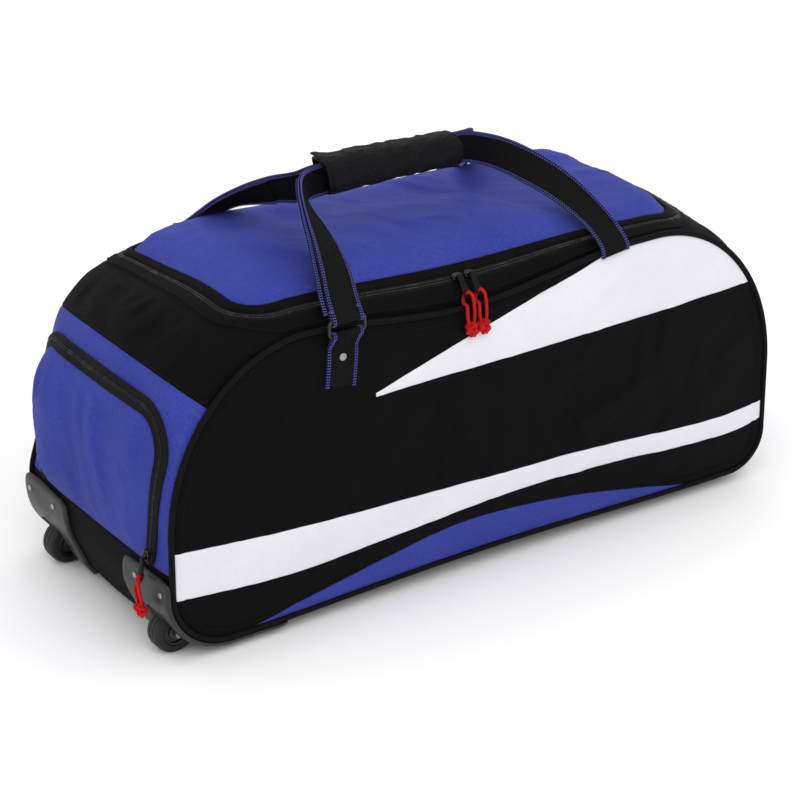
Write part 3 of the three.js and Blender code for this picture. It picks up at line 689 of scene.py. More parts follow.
    def settle(self, points: Array) -> Array:
        """Points after the load has settled: the top sinks toward the back and the wheel end draws in there.

        Args:
            points: Points in millimetres.

        Returns:
            The points, lowered where they lie high and drawn in at the back of the wheel end.
        """
        x, y, z = points.T
        sink = mix(self.sink_wheel, self.sink_far, clamp01(x / 600.0 + 0.5))
        above = z - self.settle_from
        sink = sink * ease((y + 40.0) / 190.0) * ease(above / 75.0) * (1.0 - 0.8 * ease((-255.0 - x) / 90.0))
        dip = self.dip * hump(y, self.dip_at[1], self.dip_span[1]) * hump(x, self.dip_at[0], self.dip_span[0])
        dip = dip * ease(above / 60.0)
        tall = ease((z - 100.0) / 60.0) * (1.0 - ease((z - 240.0) / 70.0))
        tuck = self.tuck * ease((y - self.tuck_from[1]) / 95.0) * ease((self.tuck_from[0] - x) / 90.0) * tall
        return np.stack([x + tuck, y, z - sink - dip], axis=1)

    def floor(self, x: Array) -> Array:
        """Lowest height of the base: flat at the far end, lifted at the wheels."""
        return self.floor_rise * clamp01((self.floor_rise_from - x) / (self.floor_rise_from + self.half_length))

    def face(self, run: Array, y: Array) -> Array:
        """Outer face of the gusset.

        Args:
            run: Distances along the outline.
            y: Distances across.

        Returns:
            Points in millimetres.
        """
        x, z, out_x, out_z = self.seam(run)
        out = self.bulge(x, out_z) * self.dome(y) + self.stuffing(x, z, y)
        height = np.maximum(z + out_z * out, np.where(out_z < -0.2, self.floor(x), 0.0))
        return np.stack([x + out_x * out, np.broadcast_to(y, np.shape(x)), height], axis=-1)

    def gusset(self, spots: Array, lift: Array) -> Array:
        """Point of the gusset moved out along its normal.

        Args:
            spots: Rows of distance along the outline and distance across.
            lift: Distance to move out.

        Returns:
            Points in millimetres.
        """
        run, y = spots[:, 0], np.clip(spots[:, 1], -self.gusset_half, self.gusset_half)
        edge = np.clip(y, 0.4 - self.gusset_half, self.gusset_half - 0.4)
        along = self.face(run + 4.0, edge) - self.face(run - 4.0, edge)
        over = self.face(run, edge + 0.3) - self.face(run, edge - 0.3)
        normal = -unit(np.cross(along, over))
        return self.face(run, y) + normal * np.asarray(lift)[..., None]

    def run_at_height(self, end: End, z: float) -> float:
        """Distance along the outline where an end of the bag reaches a height.

        Args:
            end: End of the bag.
            z: Height of the seam.

        Returns:
            The distance.
        """
        low, high = (self.runs[1], self.runs[3]) if end is End.FAR else (self.runs[4], self.runs[6])
        marks = np.linspace(low, high, 4000)
        heights = self.seam(marks)[1]
        return float(np.interp(z, heights, marks) if end is End.FAR else np.interp(z, heights[::-1], marks[::-1]))

    def run_at_plan(self, spots: Array) -> Array:
        """Plan points of the top as distance along the outline and distance across.

        Args:
            spots: Rows of x and y.

        Returns:
            Rows of both distances.
        """
        low = np.full(len(spots), self.runs[2])
        high = np.full(len(spots), self.runs[5])
        for _ in range(44):
            middle = (low + high) / 2
            before = self.face(middle, spots[:, 1])[:, 0] > spots[:, 0]
            low, high = np.where(before, middle, low), np.where(before, high, middle)
        return np.stack([(low + high) / 2, spots[:, 1]], axis=1)

    @cached_property
    def panel_edge(self) -> Array:
        """Outline of a side panel in the side view, just inside its piping.

        Returns:
            Rows of x and z.
        """
        x, z, out_x, out_z = self.seam(np.linspace(0, self.length, 900, endpoint=False))
        inset = self.piping_radius + self.seam_gap
        return np.stack([x - out_x * inset, z - out_z * inset], axis=1)

    @cached_property
    def panel_polar(self) -> tuple:
        """Angle and reach of the side panel's outline about its middle, in order of angle.

        Returns:
            Both arrays.
        """
        spoke = self.panel_edge - [0.0, self.side_centre]
        angle = np.arctan2(spoke[:, 1], spoke[:, 0])
        order = np.argsort(angle)
        return angle[order], np.linalg.norm(spoke, axis=1)[order]

    def panel(self, side: Side) -> Surface:
        """Surface of a side panel, from points in the side view.

        Args:
            side: Side of the bag.

        Returns:
            Place of a point at a lift.
        """
        angles, reaches = self.panel_polar

        def place(spots: Array, lift: Array) -> Array:
            """Point of the panel at a lift.

            Args:
                spots: Rows of place in the surface's own coordinates.
                lift: Lift of each.

            Returns:
                Points in millimetres.
            """
            spoke = spots - [0.0, self.side_centre]
            reach = np.interp(np.arctan2(spoke[:, 1], spoke[:, 0]), angles, reaches, period=2 * math.pi)
            share = np.linalg.norm(spoke, axis=1) / reach
            out = self.half_width + self.wall / 2 + self.side_bulge * (1 - np.minimum(share, 1.0) ** 3)
            return np.stack([spots[:, 0], side.sign * (out + lift), spots[:, 1]], axis=1)

        return place


FORM = BodyForm()


class Sheet:
    """Small helper that adds and joins nodes in one tree."""

    def __init__(self, tree: bpy.types.NodeTree) -> None:
        """Start on a tree."""
        self.tree = tree

    def add(self, kind: str, inputs: dict | None = None, **settings: object) -> bpy.types.Node:
        """Add a node.

        Args:
            kind: Blender's name of the node type.
            inputs: Values or sockets for its inputs, by name or number.
            settings: Attributes of the node.

        Returns:
            The node.
        """
        node = self.tree.nodes.new(kind)
        for name, value in settings.items():
            setattr(node, name, value)
        for name, value in (inputs or {}).items():
            socket = node.inputs[name]
            if isinstance(value, bpy.types.NodeSocket):
                self.tree.links.new(value, socket)
            else:
                socket.default_value = value
        return node

    def join(self, socket: bpy.types.NodeSocket, node: bpy.types.Node, name: str | int) -> None:
        """Join a socket to an input of a node."""
        self.tree.links.new(socket, node.inputs[name])

    def math(self, operation: str, first: object, second: object = 0.0, third: object = 0.0) -> bpy.types.NodeSocket:
        """Result of a sum on two or three values."""
        return self.add("ShaderNodeMath", {0: first, 1: second, 2: third}, operation=operation).outputs[0]

    def wave(self, value: object, rate: float) -> bpy.types.NodeSocket:
        """Height of round threads that lie side by side."""
        return self.math("ABSOLUTE", self.math("SINE", self.math("MULTIPLY", value, rate)))

    def blend(self, share: object, first: object, second: object) -> bpy.types.NodeSocket:
        """Mixed colour of two colours."""
        node = self.add("ShaderNodeMix", {0: share, 6: first, 7: second}, data_type="RGBA")
        return node.outputs[2]

    def noise(self, vector: object, scale: float, detail: float = 3.0) -> bpy.types.NodeSocket:
        """Noise value on a vector."""
        settings = {"Vector": vector, "Scale": scale, "Detail": detail, "Roughness": 0.55}
        return self.add("ShaderNodeTexNoise", settings).outputs["Fac"]


class Effects:
    """Shared shader effects, each built once as a node group."""

    def __init__(self) -> None:
        """Build every group."""
        self.weave = self._weave()
        self.crumple = self._crumple()
        self.grain = self._grain()

    @staticmethod
    def _group(name: str, inputs: Sequence, outputs: Sequence) -> tuple:
        """New group with its sockets, its helper and its end nodes.

        Args:
            name: Name of the group.
            inputs: Rows of label, socket type and starting value.
            outputs: Rows of label and socket type.

        Returns:
            Tree, helper, input node and output node.
        """
        tree = bpy.data.node_groups.new(name, "ShaderNodeTree")
        for label, kind, value in inputs:
            socket = tree.interface.new_socket(label, in_out="INPUT", socket_type=kind)
            if value is not None:
                socket.default_value = value
        for label, kind in outputs:
            tree.interface.new_socket(label, in_out="OUTPUT", socket_type=kind)
        return tree, Sheet(tree), tree.nodes.new("NodeGroupInput"), tree.nodes.new("NodeGroupOutput")

    def _weave(self) -> bpy.types.NodeTree:
        """Plain weave of two threads, as a height.

        Returns:
            The group.
        """
        tree, sheet, start, stop = self._group(
            "Plain weave",
            [("Cloth", "NodeSocketVector", None), ("Thread", "NodeSocketFloat", 0.0009),
             ("Slub", "NodeSocketFloat", 0.35)],
            [("Height", "NodeSocketFloat")])
        cloth = start.outputs["Cloth"]
        warp = sheet.noise(cloth, 900.0, 1.0)
        scaled = sheet.add("ShaderNodeVectorMath", {0: cloth, 3: sheet.math("DIVIDE", 1.0, start.outputs["Thread"])},
                           operation="SCALE").outputs[0]
        axes = sheet.add("ShaderNodeSeparateXYZ", {0: scaled})
        first, second = (sheet.wave(axes.outputs[k], math.pi) for k in range(2))
        over = sheet.add("ShaderNodeTexChecker", {"Vector": scaled, "Scale": 1.0}).outputs["Fac"]
        thread = sheet.math("ADD", sheet.math("MULTIPLY", over, first),
                            sheet.math("MULTIPLY", sheet.math("SUBTRACT", 1.0, over), second))
        uneven = sheet.math("MULTIPLY_ADD", warp, start.outputs["Slub"], thread)
        sheet.join(uneven, stop, "Height")
        return tree

    def _crumple(self) -> bpy.types.NodeTree:
        """Fine crinkles and broad tonal drift of handled cloth.

        Returns:
            The group.
        """
        tree, sheet, start, stop = self._group(
            "Handled cloth",
            [("Cloth", "NodeSocketVector", None), ("Crinkle scale", "NodeSocketFloat", 180.0),
             ("Drift scale", "NodeSocketFloat", 11.0)],
            [("Crinkle", "NodeSocketFloat"), ("Drift", "NodeSocketFloat")])
        cloth = start.outputs["Cloth"]
        crinkle = sheet.noise(cloth, 180.0, 4.0)
        sheet.join(start.outputs["Crinkle scale"], crinkle.node, "Scale")
        crinkle.node.inputs["Distortion"].default_value = 0.6
        crinkle = sheet.add("ShaderNodeMapRange", {"Value": crinkle, "From Min": 0.3, "From Max": 0.7}).outputs[0]
        drift = sheet.noise(cloth, 11.0, 3.0)
        sheet.join(start.outputs["Drift scale"], drift.node, "Scale")
        sheet.join(crinkle, stop, "Crinkle")
        sheet.join(drift, stop, "Drift")
        return tree

    def _grain(self) -> bpy.types.NodeTree:
        """Moulded grain with scuffs, as a height and a wear mask.

        Returns:
            The group.
        """
        tree, sheet, start, stop = self._group(
            "Moulded grain",
            [("Place", "NodeSocketVector", None), ("Grain scale", "NodeSocketFloat", 1400.0)],
            [("Height", "NodeSocketFloat"), ("Wear", "NodeSocketFloat")])
        place = start.outputs["Place"]
        cells = sheet.add("ShaderNodeTexVoronoi", {"Vector": place, "Scale": 1400.0})
        sheet.join(start.outputs["Grain scale"], cells, "Scale")
        scuff = sheet.noise(place, 60.0, 6.0)
        worn = sheet.add("ShaderNodeMapRange", {"Value": scuff, "From Min": 0.5, "From Max": 0.72}).outputs[0]
        sheet.join(cells.outputs["Distance"], stop, "Height")
        sheet.join(worn, stop, "Wear")
        return tree


EFFECTS = Effects()


def linear(red: int, green: int, blue: int) -> tuple:
    """Display colour as the linear colour that shaders take.

    Args:
        red: Red from 0 to 255.
        green: Green from 0 to 255.
        blue: Blue from 0 to 255.

    Returns:
        Linear red, green, blue and alpha.
    """
    def one(value: int) -> float:
        """One channel."""
        share = value / 255
        return share / 12.92 if share <= 0.04045 else ((share + 0.055) / 1.055) ** 2.4
    return (one(red), one(green), one(blue), 1.0)


class Finish:
    """Base of all finishes: makes its material once."""

    made: dict = {}
    bump: float = 1.0
    specular: float = 0.5
    metallic: float = 0.0

    def material(self) -> bpy.types.Material:
        """Material of this finish.

        Returns:
            The material, made at the first call.
        """
        if self.name not in Finish.made:
            material = bpy.data.materials.new(self.name)
            material.use_nodes = True
            material.node_tree.nodes.clear()
            sheet = Sheet(material.node_tree)
            colour, rough, height = self.dress(sheet)
            shader = sheet.add("ShaderNodeBsdfPrincipled", {
                "Base Color": colour, "Roughness": rough, "Metallic": self.metallic,
                "Specular IOR Level": self.specular})
            if height is not None:
                relief = {"Height": height, "Distance": self.relief, "Strength": self.bump}
                sheet.join(sheet.add("ShaderNodeBump", relief).outputs[0], shader, "Normal")
            sheet.add("ShaderNodeOutputMaterial", {0: shader.outputs[0]})
            Finish.made[self.name] = material
        return Finish.made[self.name]

    def dress(self, sheet: Sheet) -> tuple:
        """Sockets of colour, roughness and height, the last of them None on a smooth surface."""
        raise NotImplementedError


@dataclass(frozen=True)
class ClothFinish(Finish):
    """Woven cloth with a thread size, two tones, crinkles, and the shade of its weave and crinkles painted into its
    colour.
    """

    name: str
    low: tuple
    high: tuple
    thread: float = 0.0009
    crinkle: float = 0.5
    grain: float = 180.0
    roughness: float = 0.78
    relief: float = 0.00022
    specular: float = 0.1
    # Painted shade: the share of the crinkles' shade that is painted into the colour.
    crinkle_shade: float = 0.2

    def dress(self, sheet: Sheet) -> tuple:
        """Weave, crinkles, tone and painted shade in their hollows.

        Args:
            sheet: Helper on the material's tree.

        Returns:
            Sockets of colour, roughness and height.
        """
        cloth = sheet.add("ShaderNodeTexCoord").outputs["UV"]
        weave = sheet.add("ShaderNodeGroup", {"Cloth": cloth, "Thread": self.thread}, node_tree=EFFECTS.weave)
        used = sheet.add("ShaderNodeGroup", {"Cloth": cloth, "Crinkle scale": self.grain}, node_tree=EFFECTS.crumple)
        woven, crinkle = weave.outputs["Height"], used.outputs["Crinkle"]
        # Painted shade: the weave and crinkle heights also darken the colour in their hollows. The drift is random
        # tone.
        tone = sheet.math("MULTIPLY_ADD", used.outputs["Drift"], 0.5, sheet.math("MULTIPLY", woven, 0.2))
        tone = sheet.math("MULTIPLY_ADD", crinkle, self.crinkle_shade, tone)
        rough = sheet.math("MULTIPLY_ADD", crinkle, 0.16, self.roughness - 0.08)
        height = sheet.math("MULTIPLY_ADD", crinkle, 2.4 * self.crinkle, sheet.math("MULTIPLY", woven, 0.55))
        return sheet.blend(tone, self.low, self.high), rough, height


@dataclass(frozen=True)
class WebbingFinish(Finish):
    """Ribbed webbing whose ribs lie across its length."""

    name: str
    low: tuple
    high: tuple
    rib: float = 0.0017
    thread: float = 0.0011
    relief: float = 0.0005
    specular: float = 0.12
    roughness: float = 0.58

    def dress(self, sheet: Sheet) -> tuple:
        """Ribs and cross threads, with the shade between the ribs painted into the colour.

        Args:
            sheet: Helper on the material's tree.

        Returns:
            Sockets of colour, roughness and height.
        """
        cloth = sheet.add("ShaderNodeTexCoord").outputs["UV"]
        axes = sheet.add("ShaderNodeSeparateXYZ", {0: cloth})
        ribs = sheet.wave(axes.outputs[0], math.pi / self.rib)
        cross = sheet.wave(axes.outputs[1], math.pi / self.thread)
        used = sheet.add("ShaderNodeGroup", {"Cloth": cloth}, node_tree=EFFECTS.crumple)
        height = sheet.math("MULTIPLY_ADD", cross, 0.25, ribs)
        # Painted shade: the rib height also darkens the colour between the ribs. The drift is random tone.
        tone = sheet.math("MULTIPLY_ADD", used.outputs["Drift"], 0.5, sheet.math("MULTIPLY", height, 0.4))
        rough = sheet.math("MULTIPLY_ADD", used.outputs["Crinkle"], 0.2, self.roughness)
        return sheet.blend(tone, self.low, self.high), rough, height


@dataclass(frozen=True)
class MouldedFinish(Finish):
    """Moulded plastic or rubber with a fine grain and light scuffs."""

    name: str
    base: tuple
    worn: tuple
    roughness: float = 0.5
    grain: float = 1400.0
    relief: float = 0.00012
    specular: float = 0.5
    bump: float = 0.6

    def dress(self, sheet: Sheet) -> tuple:
        """Grain and scuffs.

        Args:
            sheet: Helper on the material's tree.

        Returns:
            Sockets of colour, roughness and height.
        """
        place = sheet.add("ShaderNodeTexCoord").outputs["Object"]
        grain = sheet.add("ShaderNodeGroup", {"Place": place, "Grain scale": self.grain}, node_tree=EFFECTS.grain)
        wear = grain.outputs["Wear"]
        rough = sheet.math("MULTIPLY_ADD", wear, 0.15, self.roughness)
        return sheet.blend(sheet.math("MULTIPLY", wear, 0.6), self.base, self.worn), rough, grain.outputs["Height"]


@dataclass(frozen=True)
class MetalFinish(Finish):
    """Bright metal with faint scuffs."""

    name: str
    base: tuple
    roughness: float = 0.24
    grain: float = 2600.0
    metallic: float = 1.0

    def dress(self, sheet: Sheet) -> tuple:
        """Scuffs.

        Args:
            sheet: Helper on the material's tree.

        Returns:
            Sockets of colour, roughness and height.
        """
        place = sheet.add("ShaderNodeTexCoord").outputs["Object"]
        grain = sheet.add("ShaderNodeGroup", {"Place": place, "Grain scale": self.grain}, node_tree=EFFECTS.grain)
        dull = tuple(0.7 * value for value in self.base[:3]) + (1.0,)
        wear = grain.outputs["Wear"]
        return sheet.blend(wear, self.base, dull), sheet.math("MULTIPLY_ADD", wear, 0.2, self.roughness), None


@dataclass(frozen=True)
class ThreadFinish(Finish):
    """Twisted thread or braided cord."""

    name: str
    low: tuple
    high: tuple
    twist: float = 900.0
    relief: float = 0.00035
    specular: float = 0.2
    roughness: float = 0.5

    def dress(self, sheet: Sheet) -> tuple:
        """Twist and fuzz, with the shade in the twist's grooves painted into the colour.

        Args:
            sheet: Helper on the material's tree.

        Returns:
            Sockets of colour, roughness and height.
        """
        place = sheet.add("ShaderNodeTexCoord").outputs["Object"]
        wave = sheet.add("ShaderNodeTexWave", {"Vector": place, "Scale": self.twist, "Distortion": 1.5},
                         bands_direction="DIAGONAL").outputs["Fac"]
        fuzz = sheet.noise(place, 1500.0, 2.0)
        # Painted shade: the twist height also darkens the colour in the twist's grooves. The fuzz is random tone.
        tone = sheet.math("MULTIPLY_ADD", fuzz, 0.5, sheet.math("MULTIPLY", wave, 0.6))
        return sheet.blend(tone, self.low, self.high), sheet.math("MULTIPLY_ADD", fuzz, 0.3, self.roughness), wave


@dataclass(frozen=True)
class Wardrobe:
    """Every finish of the bag."""

    blue: Finish = ClothFinish("Blue cloth", linear(30, 38, 122), linear(66, 77, 176), crinkle=0.8, specular=0.14,
                               grain=300.0, roughness=0.6, relief=0.0006, crinkle_shade=0.45)
    black: Finish = ClothFinish("Black cloth", linear(2, 2, 3), linear(12, 12, 13), crinkle=0.6, specular=0.06,
                                grain=320.0, roughness=0.7, relief=0.0004, crinkle_shade=0.45)
    white: Finish = ClothFinish("White cloth", linear(206, 205, 213), linear(224, 223, 230), thread=0.0007,
                                crinkle=0.15, roughness=0.6, relief=0.00012)
    piping: Finish = ClothFinish("Piping cloth", linear(6, 6, 7), linear(14, 14, 15), thread=0.0007, crinkle=0.3)
    tape: Finish = WebbingFinish("Zip tape", linear(8, 8, 9), linear(18, 18, 19), rib=0.0012, relief=0.00022)
    # Lighter copy of the black cloth for the grip wrap. Its lifted tones are painted light, standing in for the light
    # that falls on the wrap.
    wrap: Finish = ClothFinish("Lit wrap cloth", linear(5, 5, 6), linear(20, 20, 21), crinkle=0.6, specular=0.14,
                               grain=320.0, roughness=0.62, relief=0.0004, crinkle_shade=0.45)
    webbing: Finish = WebbingFinish("Handle webbing", linear(4, 4, 5), linear(23, 23, 24), specular=0.05)
    blue_thread: Finish = ThreadFinish("Blue edge thread", linear(62, 68, 152), linear(112, 120, 204))
    black_thread: Finish = ThreadFinish("Black thread", linear(8, 8, 9), linear(24, 24, 25))
    red_cord: Finish = ThreadFinish("Red cord", linear(150, 6, 8), linear(214, 18, 18), twist=620.0)
    guard: Finish = MouldedFinish("Guard plastic", linear(27, 28, 30), linear(46, 47, 49), roughness=0.4,
                                  specular=0.35)
    zip_black: Finish = MouldedFinish("Zip enamel", linear(4, 4, 5), linear(12, 12, 13), roughness=0.2,
                                      relief=0.00003, specular=0.45)
    tab: Finish = MouldedFinish("Tab enamel", linear(5, 5, 6), linear(14, 14, 15), roughness=0.48, relief=0.00003,
                                specular=0.12)
    # Painted highlight: the zip is black, and the teeth's grey base and worn tones are lifted to stand in for the
    # glints along them.
    teeth: Finish = MouldedFinish("Zip teeth painted highlight", linear(40, 40, 43), linear(92, 92, 96), roughness=0.25,
                                  relief=0.00003)
    tyre: Finish = MouldedFinish("Tyre rubber", linear(13, 13, 14), linear(28, 28, 28), roughness=0.5,
                                 specular=0.35)
    hub: Finish = MouldedFinish("Hub plastic", linear(17, 17, 19), linear(36, 36, 38), roughness=0.38)
    metal: Finish = MetalFinish("Rivet metal", linear(150, 148, 146), 0.34)


WEAR = Wardrobe()


class Bench:
    """Turns shells into pieces of the scene that ride on a body."""

    count: int = 0

    @classmethod
    def piece(cls, name: str, parts: Sequence, body: str = "bag", nodes: Sequence[str] = (),
              slot: str | None = None, sharp: float = 40.0) -> bpy.types.Object:
        """Make one piece.

        Args:
            name: Name of the piece.
            parts: Pairs of shell and finish.
            body: Body that carries it.
            nodes: Solids that it stands for.
            slot: Record slot of its finish; passed on but not used.
            sharp: Angle in degrees past which an edge stays sharp.

        Returns:
            The object.
        """
        mesh = bpy.data.meshes.new(name)
        points, faces, uv, marks, total = [], [], [], [], 0
        finishes = list(dict.fromkeys(finish for _, finish in parts))
        for shell, finish in parts:
            points.append(shell.points)
            faces += [tuple(i + total for i in face) for face in shell.faces]
            uv.append(shell.uv)
            marks += [finishes.index(finish)] * len(shell.faces)
            total += len(shell.points)
        mesh.from_pydata((FORM.settle(np.vstack(points)) * MM).tolist(), [], faces)
        layer = mesh.uv_layers.new(name="Cloth")
        corner = np.empty(len(mesh.loops), np.int32)
        mesh.loops.foreach_get("vertex_index", corner)
        layer.data.foreach_set("uv", np.vstack(uv)[corner].astype(np.float32).ravel())
        mesh.polygons.foreach_set("material_index", np.array(marks, np.int32))
        mesh.polygons.foreach_set("use_smooth", np.ones(len(mesh.polygons), bool))
        for finish in finishes:
            mesh.materials.append(finish.material())
        mesh.set_sharp_from_angle(angle=math.radians(sharp))
        mesh.update()
        return cls.place(bpy.data.objects.new(name, mesh), body, nodes, slot)

    @classmethod
    def solid(cls, node: str, ending: str, parts: Sequence, slot: str, body: str = "bag",
              sharp: float = 40.0) -> bpy.types.Object:
        """Make the piece that stands for one solid and is named after it."""
        return cls.piece(f"{node}_{ending}", parts, body, [node], slot, sharp)

    @classmethod
    def place(cls, piece: bpy.types.Object, body: str, nodes: Sequence[str], slot: str | None) -> bpy.types.Object:
        """Link a made object, let it ride and report it.

        Args:
            piece: Object with its mesh.
            body: Body that carries it.
            nodes: Solids that it stands for.
            slot: Record slot of its finish; not used.

        Returns:
            The object.
        """
        bpy.context.scene.collection.objects.link(piece)
        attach(piece, body)
        if nodes:
            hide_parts(*nodes)
        cls.count += 1
        LOG.info("%s: %d faces on %s", piece.name, len(piece.data.polygons), body)
        return piece


class RowTree:
    """Geometry Nodes tree that sets small pieces, such as stitches and zip teeth, along lines."""

    def __init__(self) -> None:
        """Build the tree."""
        self.tree = bpy.data.node_groups.new("Row of small pieces", "GeometryNodeTree")
        face = self.tree.interface
        face.new_socket("Lines", in_out="INPUT", socket_type="NodeSocketGeometry")
        self.names = {}
        for label, value in (("Pitch", 0.004), ("Length", 0.003), ("Width", 0.0008), ("Height", 0.0006),
                             ("Slant", 0.0), ("Unevenness", 0.06)):
            socket = face.new_socket(label, in_out="INPUT", socket_type="NodeSocketFloat")
            socket.default_value = value
            self.names[label] = socket.identifier
        self.names["Finish"] = face.new_socket("Finish", in_out="INPUT", socket_type="NodeSocketMaterial").identifier
        face.new_socket("Pieces", in_out="OUTPUT", socket_type="NodeSocketGeometry")
        self._wire()

    def _wire(self) -> None:
        """Wire the tree from lines to finished pieces."""
        sheet = Sheet(self.tree)
        start, stop = self.tree.nodes.new("NodeGroupInput"), self.tree.nodes.new("NodeGroupOutput")
        curve = sheet.add("GeometryNodeMeshToCurve", {"Mesh": start.outputs["Lines"]}).outputs[0]
        spread = sheet.add("GeometryNodeCurveToPoints", {"Curve": curve, "Length": start.outputs["Pitch"]},
                           mode="LENGTH")
        bead = sheet.add("GeometryNodeMeshUVSphere", {"Segments": 8, "Rings": 4, "Radius": 0.5}).outputs[0]
        size = sheet.add("ShaderNodeCombineXYZ", {0: start.outputs["Length"], 1: start.outputs["Width"],
                                                  2: start.outputs["Height"]}).outputs[0]
        bead = sheet.add("GeometryNodeTransform", {"Geometry": bead, "Scale": size}).outputs[0]
        ahead = sheet.add("FunctionNodeAlignRotationToVector", {"Vector": spread.outputs["Tangent"]}, axis="X")
        out = sheet.add("GeometryNodeInputNamedAttribute", {"Name": "outward"}, data_type="FLOAT_VECTOR").outputs[0]
        stand = sheet.add("FunctionNodeAlignRotationToVector", {"Rotation": ahead.outputs[0], "Vector": out},
                          axis="Z", pivot_axis="X")
        stray = sheet.add("FunctionNodeRandomValue", {"Seed": 11}, data_type="FLOAT")
        stray.inputs[2].default_value, stray.inputs[3].default_value = -1.0, 1.0
        turn = sheet.math("MULTIPLY_ADD", stray.outputs[1], start.outputs["Unevenness"], start.outputs["Slant"])
        axis = sheet.add("FunctionNodeAxisAngleToRotation", {"Axis": (0.0, 0.0, 1.0), "Angle": turn}).outputs[0]
        slant = sheet.add("FunctionNodeRotateRotation", {0: stand.outputs[0], 1: axis}, rotation_space="LOCAL")
        laid = sheet.add("GeometryNodeInstanceOnPoints", {"Points": spread.outputs["Points"], "Instance": bead,
                                                          "Rotation": slant.outputs[0]}).outputs[0]
        real = sheet.add("GeometryNodeRealizeInstances", {"Geometry": laid}).outputs[0]
        done = sheet.add("GeometryNodeSetMaterial", {"Geometry": real, "Material": start.outputs["Finish"]}).outputs[0]
        self.tree.links.new(done, stop.inputs["Pieces"])

    def lay(self, name: str, rows: Sequence, finish: Finish, pitch: float, size: tuple, slant: float = 0.0,
            body: str = "bag", slot: str | None = None) -> bpy.types.Object:
        """Lay a piece along each row.

        Args:
            name: Name of the made piece.
            rows: Pairs of points and outward directions, in millimetres.
            finish: Finish of the small pieces.
            pitch: Distance between them in millimetres.
            size: Length, width and height of each in millimetres.
            slant: Turn of each about its outward direction, in radians.
            body: Body that carries them.
            slot: Record slot of the finish; passed on but not used.

        Returns:
            One plain mesh object.
        """
        mesh = bpy.data.meshes.new(name + "_lines")
        edges, total = [], 0
        for points, _ in rows:
            edges += [(total + i, total + i + 1) for i in range(len(points) - 1)]
            total += len(points)
        points = FORM.settle(np.vstack([points for points, _ in rows]))
        mesh.from_pydata((points * MM).tolist(), edges, [])
        field = mesh.attributes.new("outward", "FLOAT_VECTOR", "POINT")
        field.data.foreach_set("vector", np.vstack([out for _, out in rows]).astype(np.float32).ravel())
        guide = bpy.data.objects.new(name + "_lines", mesh)
        bpy.context.scene.collection.objects.link(guide)
        modifier = guide.modifiers.new("Row", "NODES")
        modifier.node_group = self.tree
        values = {"Pitch": pitch * MM, "Length": size[0] * MM, "Width": size[1] * MM, "Height": size[2] * MM,
                  "Slant": slant}
        for label, value in values.items():
            modifier[self.names[label]] = value
        modifier[self.names["Finish"]] = finish.material()
        seen = guide.evaluated_get(bpy.context.evaluated_depsgraph_get())
        made = bpy.data.meshes.new_from_object(seen)
        made.name = name
        bpy.data.objects.remove(guide)
        bpy.data.meshes.remove(mesh)
        made.polygons.foreach_set("use_smooth", np.ones(len(made.polygons), bool))
        return Bench.place(bpy.data.objects.new(name, made), body, (), slot)

    def stitch(self, name: str, rows: Sequence, size: tuple = (2.7, 0.7, 0.6), pitch: float = 3.6) -> bpy.types.Object:
        """Lay rows of black stitches."""
        return self.lay(name, rows, WEAR.black_thread, pitch, size, slot="fabric_black")


ROWS = RowTree()


def row_on(surface: Surface, line: Array, lift: float, step: float = 4.0) -> tuple:
    """Line of a surface as points and outward directions.

    Args:
        surface: Place of a point at a lift above the surface.
        line: Points on the surface.
        lift: Lift above it.
        step: Distance between the row's points.

    Returns:
        Points and unit directions.
    """
    spots = resample(np.asarray(line, float), step)
    flat = np.full(len(spots), float(lift))
    points = surface(spots, flat)
    return points, unit(surface(spots, flat + 1.0) - points)


def closed_line(loop: Array) -> Array:
    """Loop as an open line that ends where it starts."""
    return np.vstack([loop, loop[:1]])


